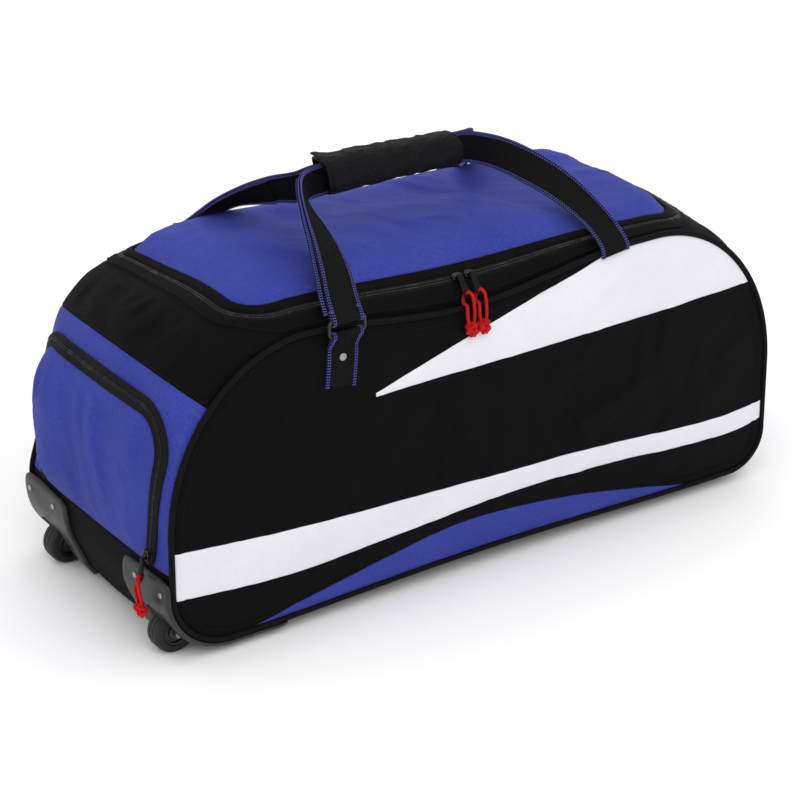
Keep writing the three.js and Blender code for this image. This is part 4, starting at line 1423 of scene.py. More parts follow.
@dataclass
class Studio:
    """Camera, floor and lights."""

    azimuth: float = -33.75
    elevation: float = 26.46
    focal: float = 144.39
    distance: float = 3.6675
    target: tuple = (-0.0074, 0.0, 0.1462)
    floor_reach: float = 14.0
    floor_tone: float = 0.94
    lights: tuple = (("Key", (-0.7, -2.1, 2.5), 1.8, 26.0), ("Fill", (2.4, -2.2, 1.7), 2.6, 8.0),
                     ("Top", (0.2, 0.5, 3.0), 2.8, 12.0))

    def build(self) -> None:
        """Set up the camera, the floor and the lights."""
        a, e = math.radians(self.azimuth), math.radians(self.elevation)
        back = Vector((math.sin(a) * math.cos(e), -math.cos(a) * math.cos(e), math.sin(e)))
        data = bpy.data.cameras.new("Camera")
        data.lens, data.sensor_width = self.focal, 36.0
        data.clip_start, data.clip_end = 0.1, 60.0
        camera = bpy.data.objects.new("Camera", data)
        camera.location = Vector(self.target) + back * self.distance
        camera.rotation_mode = "QUATERNION"
        camera.rotation_quaternion = (-back).to_track_quat("-Z", "Y")
        bpy.context.scene.collection.objects.link(camera)
        bpy.context.scene.camera = camera
        self._floor()
        for light in self.lights:
            self._light(*light)
        world = bpy.data.worlds.new("Studio")
        world.use_nodes = True
        sky = world.node_tree.nodes["Background"]
        sky.inputs["Color"].default_value = (1.0, 1.0, 1.0, 1.0)
        sky.inputs["Strength"].default_value = 1.0
        bpy.context.scene.world = world
        bpy.context.scene.view_settings.view_transform = "Standard"

    def _floor(self) -> None:
        """Pale floor that runs well past the view."""
        mesh = bpy.data.meshes.new("Floor")
        reach = self.floor_reach
        mesh.from_pydata([(-reach, -reach, 0), (reach, -reach, 0), (reach, reach, 0), (-reach, reach, 0)], [],
                         [(0, 1, 2, 3)])
        material = bpy.data.materials.new("Pale floor")
        material.use_nodes = True
        shader = material.node_tree.nodes["Principled BSDF"]
        shader.inputs["Base Color"].default_value = (*[self.floor_tone] * 3, 1.0)
        shader.inputs["Roughness"].default_value = 0.9
        mesh.materials.append(material)
        floor = bpy.data.objects.new("Floor", mesh)
        bpy.context.scene.collection.objects.link(floor)

    def _light(self, name: str, place: tuple, size: float, power: float) -> None:
        """Square soft light that faces the bag.

        Args:
            name: Name of the light.
            place: Its place in metres.
            size: Its width in metres.
            power: Its power in watts.
        """
        data = bpy.data.lights.new(name, "AREA")
        data.size, data.energy = size, power
        lamp = bpy.data.objects.new(name, data)
        lamp.location = place
        lamp.rotation_mode = "QUATERNION"
        lamp.rotation_quaternion = (Vector(self.target) - Vector(place)).to_track_quat("-Z", "Y")
        bpy.context.scene.collection.objects.link(lamp)


@dataclass
class ZipPulls:
    """Sliders, tabs and cord loops of the four zip pulls."""

    slider: tuple = (13.0, 10.0, 5.0)
    tab_length: float = 28.0
    tab_width: float = 9.0
    tab_thickness: float = 2.0
    eye_from_end: float = 5.0
    eye_radius: float = 2.4
    cord_radius: float = 1.9
    lid_x: tuple = (-26.0, -10.0)
    lid_y: float = -136.0
    lid_seat: float = 1.3
    lifts: tuple = (1.0, 0.6)
    wheel_level: float = 16.0
    far_level: float = 88.0
    chain_tops: tuple = (5.5, 4.8)
    end_lean: float = 0.12
    loop: tuple = (
        (-2.3, 48, 1.5), (-2.3, 40, 1.5), (-4.5, 28, 3), (-4.5, 14, 5.6), (-3.2, 5, 6), (-0.8, 0, 3.8), (0, 0, 0),
        (0.8, 0, -3.4), (3.2, 5, -3.8), (4.5, 9.5, -1.5), (4.5, 15, 4.6), (4.5, 28, 3), (2.3, 40, 1.5),
        (2.3, 48, 1.5),
    )

    def build(self) -> None:
        """Make the pulls of the lid and of both pockets."""
        for index, x in enumerate(self.lid_x):
            at = np.array([[FORM.runs[3] + FORM.shoulder_x - x, self.lid_y]])
            seat = FORM.gusset(at, np.array([self.lid_seat]))[0]
            out = unit(FORM.gusset(at, np.array([self.lid_seat + 10]))[0] - seat)
            self._pull(f"lid_{index + 1}", f"lid_pull_{index + 1}", self.lifts[0], seat, out,
                       np.array([1.0, 0, 0]), unit(np.array([0, -0.66, -0.75])), unit(np.array([0, -0.25, -1.0])))
        for end, level, top in ((End.WHEEL, self.wheel_level, self.chain_tops[0]),
                                (End.FAR, self.far_level, self.chain_tops[1])):
            across = -POCKET.half(level)
            boot = FORM.run_at_height(end, FORM.boot_line)
            at = np.array([[boot + end.sign * level, across]])
            seat = FORM.gusset(at, np.array([top + 0.3]))[0]
            out = unit(FORM.gusset(at, np.array([top + 10]))[0] - seat)
            higher = FORM.gusset(at + [[end.sign * 10, 0]], np.array([top + 0.3]))[0]
            self._pull(f"pocket_{end.value}", f"{end.value}_pocket_pull", self.lifts[1], seat, out,
                       unit(higher - seat), unit(np.array([self.end_lean * end.sign, 0, -1.0])), np.array([0, 0, -1.0]))

    def _pull(self, name: str, body: str, lift: float, seat: Array, out: Array, along: Array,
              hang: Array, drop: Array) -> None:
        """Make one pull from its seat on the chain.

        Args:
            name: Ending of the solids' names.
            body: Body that the tab and cord ride on.
            lift: Gap between slider and tab.
            seat: Foot of the slider.
            out: Direction away from the chain.
            along: Direction of the chain.
            hang: Direction of the tab.
            drop: Direction in which the cord hangs.
        """
        wide = unit(np.cross(along, out))
        parts = [(shell, WEAR.zip_black) for shell in self._slider(seat, along, wide, out)]
        Bench.solid(f"slider_{name}", "detail", parts, "zip_black")
        hinge = seat + out * (self.slider[2] + self.tab_thickness / 2 + lift)
        axis = unit(np.cross(hang, out))
        face = unit(np.cross(axis, hang))
        Bench.solid(f"tab_{name}", "detail", [(self._tab(hinge, hang, axis, face), WEAR.tab)], "zip_black", body)
        hole = hinge + hang * (self.tab_length - self.eye_from_end)
        rows = np.array([hole + axis * a + drop * d + face * f for a, d, f in self.loop])
        line = resample(spline(rows, 12), 1.2)
        cord = tube(line, self.cord_radius, 10)
        cord = Bench.solid(f"cord_{name}", "detail", [(cord, WEAR.red_cord)], "cord_red", body)
        middle = (rows[0] + rows[-1]) / 2 - drop * 8.0
        knot = Bench.piece(f"knot_{name}", [(shell, WEAR.red_cord) for shell in self._knot(middle, drop, axis)],
                           body, (), "cord_red")

    def _slider(self, seat: Array, along: Array, wide: Array, out: Array) -> list:
        """Waisted body with rolled edges, and an arched bridge.

        Args:
            seat: Foot of the slider.
            along: Direction of the chain.
            wide: Direction across the chain.
            out: Direction away from it.

        Returns:
            Body and bridge.
        """
        length, width, height = self.slider
        ring = np.linspace(0, 2 * math.pi, 28, endpoint=False)
        reach = 0.5 * length * np.sign(np.cos(ring)) * np.abs(np.cos(ring)) ** 0.7
        half = 0.5 * width * np.sign(np.sin(ring)) * np.abs(np.sin(ring)) ** 0.7 * (0.86 - 0.14 * np.cos(ring))
        levels = [(0.0, 0.9), (0.35, 1.0), (0.62 * height - 0.6, 1.0), (0.62 * height - 0.15, 0.95),
                  (0.62 * height, 0.84)]
        rings = np.stack([seat + out * up + share * (reach[:, None] * along + half[:, None] * wide)
                          for up, share in levels])
        body = swept(rings, False, np.arange(len(levels)), ring * 4)
        turns = np.linspace(0.0, math.pi, 15)
        line = np.stack([seat + out * (0.5 * height + 0.48 * height * math.sin(t))
                         + along * (0.36 * length * math.cos(t)) for t in turns])
        return [body, tube(line, 1.25, 8)]

    def _tab(self, hinge: Array, hang: Array, axis: Array, face: Array) -> Shell:
        """Tapered tab with a rounded foot and an eye for the cord.

        Args:
            hinge: Middle of its upper edge.
            hang: Direction in which it hangs.
            axis: Direction across it.
            face: Direction out of its face.

        Returns:
            A closed shell.
        """
        half, long = self.tab_width / 2, self.tab_length
        rows = [(-0.58 * half, 0.6), (-0.7 * half, 3.0), (-0.74 * half, 7.5), (-0.86 * half, 13.5),
                (-half, long - 5.5), (-0.82 * half, long - 1.6), (-0.45 * half, long - 0.2)]
        right = [(-x, y) for x, y in reversed(rows)]
        outline = subdivide(spline([*rows, *right], 5)[:-1], 1.2, True)
        turns = np.linspace(0, 2 * math.pi, 18, endpoint=False)
        eye = np.stack([self.eye_radius * np.cos(turns),
                        long - self.eye_from_end + self.eye_radius * np.sin(turns)], axis=1)
        pattern = Pattern.cut([outline, eye], 1.6, rings=(0.25, 0.6))

        def place(spots: Array, lift: Array) -> Array:
            """Point of the tab at a lift from its middle."""
            return hinge + spots[:, :1] * axis + spots[:, 1:] * hang + np.asarray(lift)[:, None] * face

        top = self.tab_thickness / 2 + softened(pattern.depth, 0.45, 0.6)
        shell = pattern.sew(place, top, 0.0)
        count = len(pattern.spots)
        shell.points[count:] = place(pattern.spots, -top)
        return shell

    def _knot(self, centre: Array, drop: Array, axis: Array) -> list:
        """Overhand knot drawn tight, with two short cut tails.

        Args:
            centre: Middle of the knot.
            drop: Direction in which the cord hangs.
            axis: Direction across the cord.

        Returns:
            Shells of both turns and both tails.
        """
        t = np.linspace(0, 2 * math.pi, 84, endpoint=False)
        over = unit(np.cross(drop, axis))
        shells = []
        for turn, swap in ((0.0, 1.0), (math.pi, -1.0)):
            x = (np.sin(t) + 2 * np.sin(2 * t)) * 2.3
            y = (np.cos(t) - 2 * np.cos(2 * t)) * 1.95
            z = -np.sin(3 * t) * 3.6 * swap
            side, down = x * math.cos(turn) - y * math.sin(turn), x * math.sin(turn) + y * math.cos(turn)
            loop = centre + side[:, None] * axis + down[:, None] * drop + z[:, None] * over
            shells.append(tube(loop, 2.35, 8, True))
        for way in (-1.0, 1.0):
            rows = [centre + drop * 3 + axis * way, centre + drop * 6.5 + axis * 1.8 * way,
                    centre + drop * 9.3 + axis * 2.4 * way]
            shells.append(tube(spline(rows, 5), 1.75, 8))
        return shells


@dataclass
class PocketForm:
    """Zipped pocket on each end of the bag."""

    foot_half: float = 113.0
    top_half: float = 138.0
    height: float = 167.0
    corner: float = 44.0
    foot: float = 3.0
    dome: float = 10.0
    dome_reach: float = 74.0
    tape: float = 16.0
    tape_low: tuple = (1.3, 0.6)
    tape_thickness: float = 1.6

    def half(self, level: float) -> float:
        """Half width of the zip line at a level."""
        return mix(self.foot_half, self.top_half, math.sqrt(min(1.0, max(0.0, level / self.height))))

    def line(self, inset: float) -> Array:
        """Zip line as rows of distance across and level, up one side, over the top and down the other.

        Args:
            inset: Distance inside the zip line.

        Returns:
            The rows.
        """
        corner, top = self.corner - inset, self.height - inset
        levels = np.linspace(self.foot, top - corner, 26)
        side = np.array([(-(self.half(level) - inset), level) for level in levels])
        turns = np.linspace(0, math.pi / 2, 16)[1:]
        reach = self.half(top - corner) - inset
        bend = np.stack([-reach + corner * (1 - np.cos(turns)), top - corner + corner * np.sin(turns)], axis=1)
        left = np.vstack([side, bend])
        return np.vstack([left, left[::-1] * [-1, 1]])

    def strip(self, inner: float, outer: float) -> Array:
        """Closed outline of a strip along the zip line, between two insets."""
        first, last = (subdivide(self.line(inset), 4.0, False) for inset in (inner, outer))
        return np.vstack([first, last[::-1]])

    def build(self) -> None:
        """Make both pockets."""
        for end in End:
            self._pocket(end)

    def _pocket(self, end: End) -> None:
        """Make the panel, the zip tape and the teeth of one pocket.

        Args:
            end: End of the bag.
        """
        boot = FORM.run_at_height(end, FORM.boot_line)
        low = self.tape_low[0 if end is End.WHEEL else 1]
        top = low + self.tape_thickness

        def place(spots: Array, lift: Array) -> Array:
            """Point of the end at a distance across, a level and a lift."""
            return FORM.gusset(np.stack([boot + end.sign * spots[:, 1], spots[:, 0]], axis=1), lift)

        half = self.tape / 2
        rim = subdivide(self.line(half - 1.0), 4.0, False)
        loop = np.vstack([rim, subdivide([rim[-1], rim[0]], 4.0, False)[1:-1]])
        pattern = Pattern.cut([loop], 5.5)
        swell = self.dome * (1 - (1 - clamp01(pattern.depth / self.dome_reach)) ** 2.6)
        folds = 2.6 * ripples(pattern.spots, 5, 88.0, 3.2, 66.0) + 0.7 * ripples(pattern.spots, 9, 44.0, 2.0, 58.0)
        lift = top + 0.5 + swell + folds * ease(pattern.depth / 30.0) + softened(pattern.depth, 1.6, 4.0)
        name = end.value
        Bench.solid(f"pocket_panel_{name}", "cloth", [(pattern.sew(place, lift, 1.4), WEAR.blue)], "fabric_blue")
        parts = []
        for inner, outer, rise in ((half + 0.5, 1.6, 1.1), (-1.6, -half, 0.4)):
            strip = Pattern.cut([self.strip(inner, outer)], 3.0, rings=(0.6, 1.6))
            parts.append((strip.sew(place, top + rise + softened(strip.depth, 1.1, 2.4), 1.6), WEAR.tape))
        strip = Pattern.cut([self.strip(2.6, -2.6)], 3.0, rings=(0.6,))
        parts.append((strip.sew(place, np.full(len(strip.spots), top - 0.2), 1.0), WEAR.tape))
        Bench.solid(f"pocket_tape_{name}", "cloth", parts, "fabric_black")
        rows = [row_on(place, self.line(inset), top + 0.5) for inset in (1.0, -1.0)]
        teeth = ROWS.lay(f"pocket_teeth_{name}", rows, WEAR.teeth, 1.9, (1.1, 1.3, 1.3), 0.25, slot="zip_black")
        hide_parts(f"pocket_chain_{name}")
        rows = [row_on(place, self.line(half - 2.2), top + 1.5), row_on(place, self.line(2.6 - half), top + 0.8)]
        ROWS.stitch(f"pocket_stitches_{name}", rows, (2.5, 0.7, 0.6), 3.4)


POCKET = PocketForm()


@dataclass
class TopAndLid:
    """Top of the bag: black surround, zip, border and blue lid."""

    left: float = -298.0
    right: float = 308.0
    near: float = -136.0
    far: float = 137.0
    corner: float = 54.0
    border: float = 12.0
    chain: float = 9.0
    flap: float = 11.0
    pillow: float = 7.0
    back_pillow: float = 7.0
    right_pillow: float = 4.0
    back_corner: float = 36.0
    back_reach: float = 8.0
    seam_clearance: float = 3.0

    def ring(self, grow: float, step: float = 5.0) -> Array:
        """Outline of the lid grown outward, in gusset coordinates.

        Args:
            grow: Distance outside the outline.
            step: Longest stretch between points.

        Returns:
            Rows of distance along and across.
        """
        plan = rounded_rectangle(self.left - grow, self.right + grow, self.near - grow, self.far + grow,
                                 self.corner + grow, self.back_corner + grow)
        plan = subdivide(plan, step, True)
        plan[:, 1] += self.back_reach * ease(plan[:, 1] / 100.0)
        plan[:, 1] = np.minimum(plan[:, 1], FORM.gusset_half - self.seam_clearance)
        return FORM.run_at_plan(plan)

    def build(self) -> None:
        """Make surround, zip, border and lid."""
        half = self.chain / 2
        self._surround(half)
        self._zip(half)
        self._lid(half)

    def _surround(self, half: float) -> None:
        """Black top between the lid's zip and the seams, with a folded flap along the zip.

        Args:
            half: Half the width of the zip's chain.
        """
        start = FORM.run_at_height(End.FAR, FORM.shoulder_line)
        stop = FORM.run_at_height(End.WHEEL, FORM.shoulder_line)
        edge = FORM.gusset_half
        outer = subdivide([(start, -edge), (stop, -edge), (stop, edge), (start, edge)], 5.0, True)
        hole = self.ring(half - 0.8)
        fold = self.ring(half + self.flap)
        pattern = Pattern.cut([outer, hole], 6.0, [closed_line(fold)])
        reach = loop_distance(pattern.spots, hole)
        flap = 1.5 * (1 - ease((reach - self.flap + 1.5) / 2.2)) - 0.7 * np.exp(-((reach - self.flap - 1.2) / 1.1) ** 2)
        folds = 1.5 * ripples(pattern.spots, 21, 60.0, 2.6, 12.0) * ease((reach - 14) / 22)
        lift = 0.2 + flap + folds * ease(pattern.depth / 12) + softened(pattern.depth, 1.0, 3.0)
        Bench.solid("top_surround", "cloth", [(pattern.sew(FORM.gusset, lift, 2.0), WEAR.black)], "fabric_black")
        rows = [row_on(FORM.gusset, closed_line(self.ring(half + self.flap - 2.2)), 1.75)]
        ROWS.stitch("surround_stitches", rows, (2.7, 0.75, 0.6))

    def _zip(self, half: float) -> None:
        """Tape and teeth of the lid's zip.

        Args:
            half: Half the width of the zip's chain.
        """
        strip = Pattern.cut([self.ring(half + 1.5), self.ring(-half - 1.5)], 3.5, rings=(1.2,))
        tape = strip.sew(FORM.gusset, np.full(len(strip.spots), -0.3), 1.2)
        Bench.piece("lid_zip_tape", [(tape, WEAR.tape)], "bag", (), "fabric_black")
        rows = [row_on(FORM.gusset, closed_line(self.ring(reach)), 0.5) for reach in (-1.25, 1.25)]
        teeth = ROWS.lay("lid_zip_teeth", rows, WEAR.teeth, 2.0, (1.2, 1.5, 1.4), 0.25, slot="zip_black")
        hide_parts("lid_zip_chain")

    def _lid(self, half: float) -> None:
        """Black border and blue panel of the lid.

        Args:
            half: Half the width of the zip's chain.
        """
        inner = half + self.border
        pattern = Pattern.cut([self.ring(-half + 0.6), self.ring(-inner + 1.0)], 3.6, rings=(0.7, 2.0))
        lift = 1.3 + 0.9 * np.sin(np.pi * clamp01(pattern.depth / 17.0)) + softened(pattern.depth, 1.5, 3.2)
        Bench.solid("lid_border", "cloth", [(pattern.sew(FORM.gusset, lift, 2.2), WEAR.black)], "fabric_black")
        panel = Pattern.cut([self.ring(-inner)], 6.5)
        folds = 1.8 * ripples(panel.spots, 3, 95.0, 2.4, 70.0) + 0.6 * ripples(panel.spots, 8, 48.0, 2.0, 50.0)
        high = self.pillow + self.back_pillow * ease((panel.spots[:, 1] - 20.0) / 70.0)
        high += self.right_pillow * ease((FORM.runs[3] + 40.0 - panel.spots[:, 0]) / 90.0)
        pillow = high * ease(panel.depth / 24.0) * (1.0 - 0.85 * ease((panel.depth - 34.0) / 70.0))
        lift = 0.9 + pillow + folds * ease(panel.depth / 40.0) + softened(panel.depth, 1.3, 4.0)
        Bench.solid("lid_panel", "cloth", [(panel.sew(FORM.gusset, lift, 1.8), WEAR.blue)], "fabric_blue")
        rows = [row_on(FORM.gusset, closed_line(self.ring(-inner + 3.0)), 2.2)]
        ROWS.stitch("lid_stitches", rows, (2.7, 0.75, 0.6))


LID = TopAndLid()


@dataclass
class EndsAndBase:
    """Blue ends, black boot and base."""

    well_half: float = 19.5
    well_radius: float = 33.5

    def build(self) -> None:
        """Make both ends and the base."""
        edge = FORM.gusset_half
        for end in End:
            boot = FORM.run_at_height(end, FORM.boot_line)
            top = FORM.run_at_height(end, FORM.shoulder_line)
            low, high = sorted((boot, top))
            loop = subdivide([(low, -edge), (high, -edge), (high, edge), (low, edge)], 5.0, True)
            pattern = Pattern.cut([loop], 6.5)
            folds = 0.7 * ripples(pattern.spots, 31, 60.0, 2.0, 0.0) * ease(pattern.depth / 20)
            lift = 0.1 + folds + softened(pattern.depth, 0.9, 3.0)
            Bench.solid(f"end_panel_{end.value}", "cloth", [(pattern.sew(FORM.gusset, lift, 1.6), WEAR.blue)],
                        "fabric_blue")
        start = FORM.run_at_height(End.WHEEL, FORM.boot_line)
        stop = FORM.run_at_height(End.FAR, FORM.boot_line) + FORM.length
        outer = subdivide([(start, -edge), (stop, -edge), (stop, edge), (start, edge)], 6.0, True)
        pattern = Pattern.cut([outer, *(self.well(side) for side in Side)], 7.0)
        lift = softened(pattern.depth, 0.9, 3.0)
        lift += 0.5 * ripples(pattern.spots, 41, 80.0) * ease(pattern.depth / 25) * np.where(
            FORM.seam(pattern.spots[:, 0])[3] < -0.5, 0.0, 1.0)
        Bench.solid("base", "cloth", [(pattern.sew(FORM.gusset, lift, 2.0), WEAR.black)], "fabric_black")
        seams = []
        for end in End:
            for level, way in ((FORM.boot_line, -1.0), (FORM.shoulder_line, 1.0)):
                run = FORM.run_at_height(end, level) + way * end.sign * 3.0
                seams.append(row_on(FORM.gusset, [(run, 2 - edge), (run, edge - 2)], 0.2))
        ROWS.stitch("end_stitches", seams)

    def well(self, side: Side) -> Array:
        """Outline of a wheel's opening in gusset coordinates.

        Args:
            side: Side of the bag.

        Returns:
            The closed outline.
        """
        marks = np.linspace(FORM.runs[6] - 60, FORM.length + 120, 3000)
        middle = side.sign * WHEELS.y
        place = FORM.face(marks, np.full(len(marks), middle))
        near = np.hypot(place[:, 0] - WHEELS.x, place[:, 2] - WHEELS.radius) < self.well_radius
        low, high = marks[near].min(), marks[near].max()
        left, right = middle - self.well_half, middle + self.well_half
        return subdivide([(low, left), (high, left), (high, right), (low, right)], 4.0, True)


@dataclass
class SidePanels:
    """Side panels, sewn from colour blocks, and the piping round them."""

    beyond: float = 460.0
    white_tip: tuple = (-150.0, 261.0)
    tip_half: float = 2.2
    white_top: tuple = (206.0, 356.0)
    white_run: tuple = (226.0, 460.0)
    white_foot: float = 260.0
    stripe_top: tuple = ((-460, 141), (-242, 129), (-6, 119), (147, 113), (337, 98), (460, 106))
    stripe_foot: tuple = ((-460, 84), (-242, 76), (-6, 89), (147, 87), (339, 73), (400, 78), (460, 90))
    blue_top: tuple = ((-345, 10), (-293, 22.5), (-257, 31), (-179, 47), (-60, 69), (22, 69), (149, 52),
                       (320, 13), (372, 4))

    def build(self) -> None:
        """Make both sides."""
        edge = FORM.panel_edge[::2]
        tip = self.white_tip
        low, high = (tip[0], tip[1] - self.tip_half), (tip[0], tip[1] + self.tip_half)
        lines = {
            "white_upper": self._clip(subdivide([low, high, self.white_top, self.white_run], 4.0, False), edge),
            "white_lower": self._clip(subdivide([low, (self.beyond, self.white_foot)], 4.0, False), edge),
            "stripe_top": self._clip(resample(spline(self.stripe_top, 12, 0.0), 4.0), edge),
            "stripe_foot": self._clip(resample(spline(self.stripe_foot, 12, 0.0), 4.0), edge),
            "blue_top": self._clip(resample(spline(self.blue_top, 12, 0.0), 4.0), edge),
        }
        lines["white_lower"] = np.vstack([lines["white_upper"][:1], lines["white_lower"][1:]])
        pattern = Pattern.cut([edge], 6.5, list(lines.values()))
        middle = pattern.spots[pattern.triangles].mean(1)
        block = self._blocks(middle)
        for side in Side:
            self._side(side, pattern, block, lines)
            self._piping(side)

    @staticmethod
    def _clip(line: Array, edge: Array) -> Array:
        """Part of a line that lies inside the panel, run out to its edge.

        Args:
            line: Points in the side view.
            edge: Outline of the panel.

        Returns:
            The part's points.
        """
        held = np.flatnonzero(inside(line, [edge]) & (loop_distance(line, edge) > 1.5))
        part = line[held[0]:held[-1] + 1]
        ends = [part]
        for index, beyond in ((0, held[0] - 1), (-1, held[-1] + 1)):
            if 0 <= beyond < len(line):
                a, b = part[index], line[beyond]
                steps = a + (b - a) * np.linspace(0, 3, 400)[:, None]
                cut = steps[np.argmin(loop_distance(steps, edge))]
                ends = [cut[None], *ends] if index == 0 else [*ends, cut[None]]
        return np.vstack(ends)

    def _blocks(self, middle: Array) -> Array:
        """Name of the colour block that each point lies in.

        Args:
            middle: Points in the side view.

        Returns:
            One name for each point.
        """
        x, z = middle[:, 0], middle[:, 1]
        top, foot, blue = (spline(rows, 12, 0.0) for rows in (self.stripe_top, self.stripe_foot, self.blue_top))
        names = np.full(len(middle), "side_upper", dtype=object)
        names[z < np.interp(x, top[:, 0], top[:, 1])] = "side_stripe_white"
        names[z < np.interp(x, foot[:, 0], foot[:, 1])] = "side_lower"
        names[z < np.interp(x, blue[:, 0], blue[:, 1], left=-99, right=-99)] = "side_blue"
        tip_x, tip_z = self.white_tip
        tops = [(tip_x, tip_z + self.tip_half), self.white_top, self.white_run]
        upper = np.interp(x, *zip(*tops))
        lower = np.interp(x, [tip_x, self.beyond], [tip_z - self.tip_half, self.white_foot])
        names[(x > tip_x) & (z < upper) & (z > lower)] = "side_white"
        return names

    def _side(self, side: Side, pattern: Pattern, block: Array, lines: dict) -> None:
        """Make the colour blocks and stitches of one side.

        Args:
            side: Side of the bag.
            pattern: Pattern of the whole panel.
            block: Block of each triangle.
            lines: Seams between the blocks.
        """
        surface = FORM.panel(side)
        finishes = {"side_upper": (WEAR.black, "fabric_black"), "side_white": (WEAR.white, "fabric_white"),
                    "side_stripe_white": (WEAR.white, "fabric_white"), "side_lower": (WEAR.black, "fabric_black"),
                    "side_blue": (WEAR.blue, "fabric_blue")}
        for name, (finish, slot) in finishes.items():
            part = pattern.part(block == name)
            border = loop_distance(part.spots, FORM.panel_edge)
            folds = 1.4 * ripples(part.spots, 51, 130.0, 2.2, 20.0) + 0.5 * ripples(part.spots, 53, 55.0, 2.4, 80.0)
            welt = 1.0 * np.exp(-((border - 6.0) / 2.6) ** 2) - 0.8 * np.exp(-((border - 11.0) / 1.6) ** 2)
            lift = 0.2 + welt + folds * ease(border / 60.0) + softened(part.depth, 0.7, 2.4)
            Bench.solid(f"{name}_{side.value}", "cloth", [(part.sew(surface, lift, 1.8), finish)], slot)
        rows = []
        for name, way in (("stripe_top", 2.4), ("stripe_foot", -2.4), ("blue_top", 2.4), ("white_lower", -2.4)):
            line = lines[name] + [0.0, way]
            held = inside(line, [FORM.panel_edge]) & (loop_distance(line, FORM.panel_edge) > 5.0)
            rows.append(row_on(surface, line[held], 0.5))
        inset = resample(closed_line(self._inset(8.5)), 4.0)
        dark = np.isin(self._blocks(inset), ("side_upper", "side_lower"))
        for stretch in np.split(np.arange(len(inset)), np.flatnonzero(np.diff(dark.astype(int))) + 1):
            if dark[stretch[0]] and len(stretch) > 4:
                rows.append(row_on(surface, inset[stretch[1:-1]], 0.6))
        ROWS.stitch(f"side_stitches_{side.value}", rows)

    @staticmethod
    def _inset(distance: float) -> Array:
        """Panel outline moved inward.

        Args:
            distance: Distance to move.

        Returns:
            The closed outline.
        """
        edge = FORM.panel_edge
        run = heading(edge, True)
        return edge + distance * np.stack([-run[:, 1], run[:, 0]], axis=1)

    def _piping(self, side: Side) -> None:
        """Cloth-covered piping along the side seam.

        Args:
            side: Side of the bag.
        """
        marks = np.linspace(0, FORM.length, 560, endpoint=False)
        x, z, _, _ = FORM.seam(marks)
        line = np.stack([x, np.full(len(x), side.sign * FORM.half_width), z], axis=1)
        Bench.solid(f"piping_{side.value}", "cloth", [(tube(line, FORM.piping_radius, 12, True), WEAR.piping)],
                    "fabric_black")


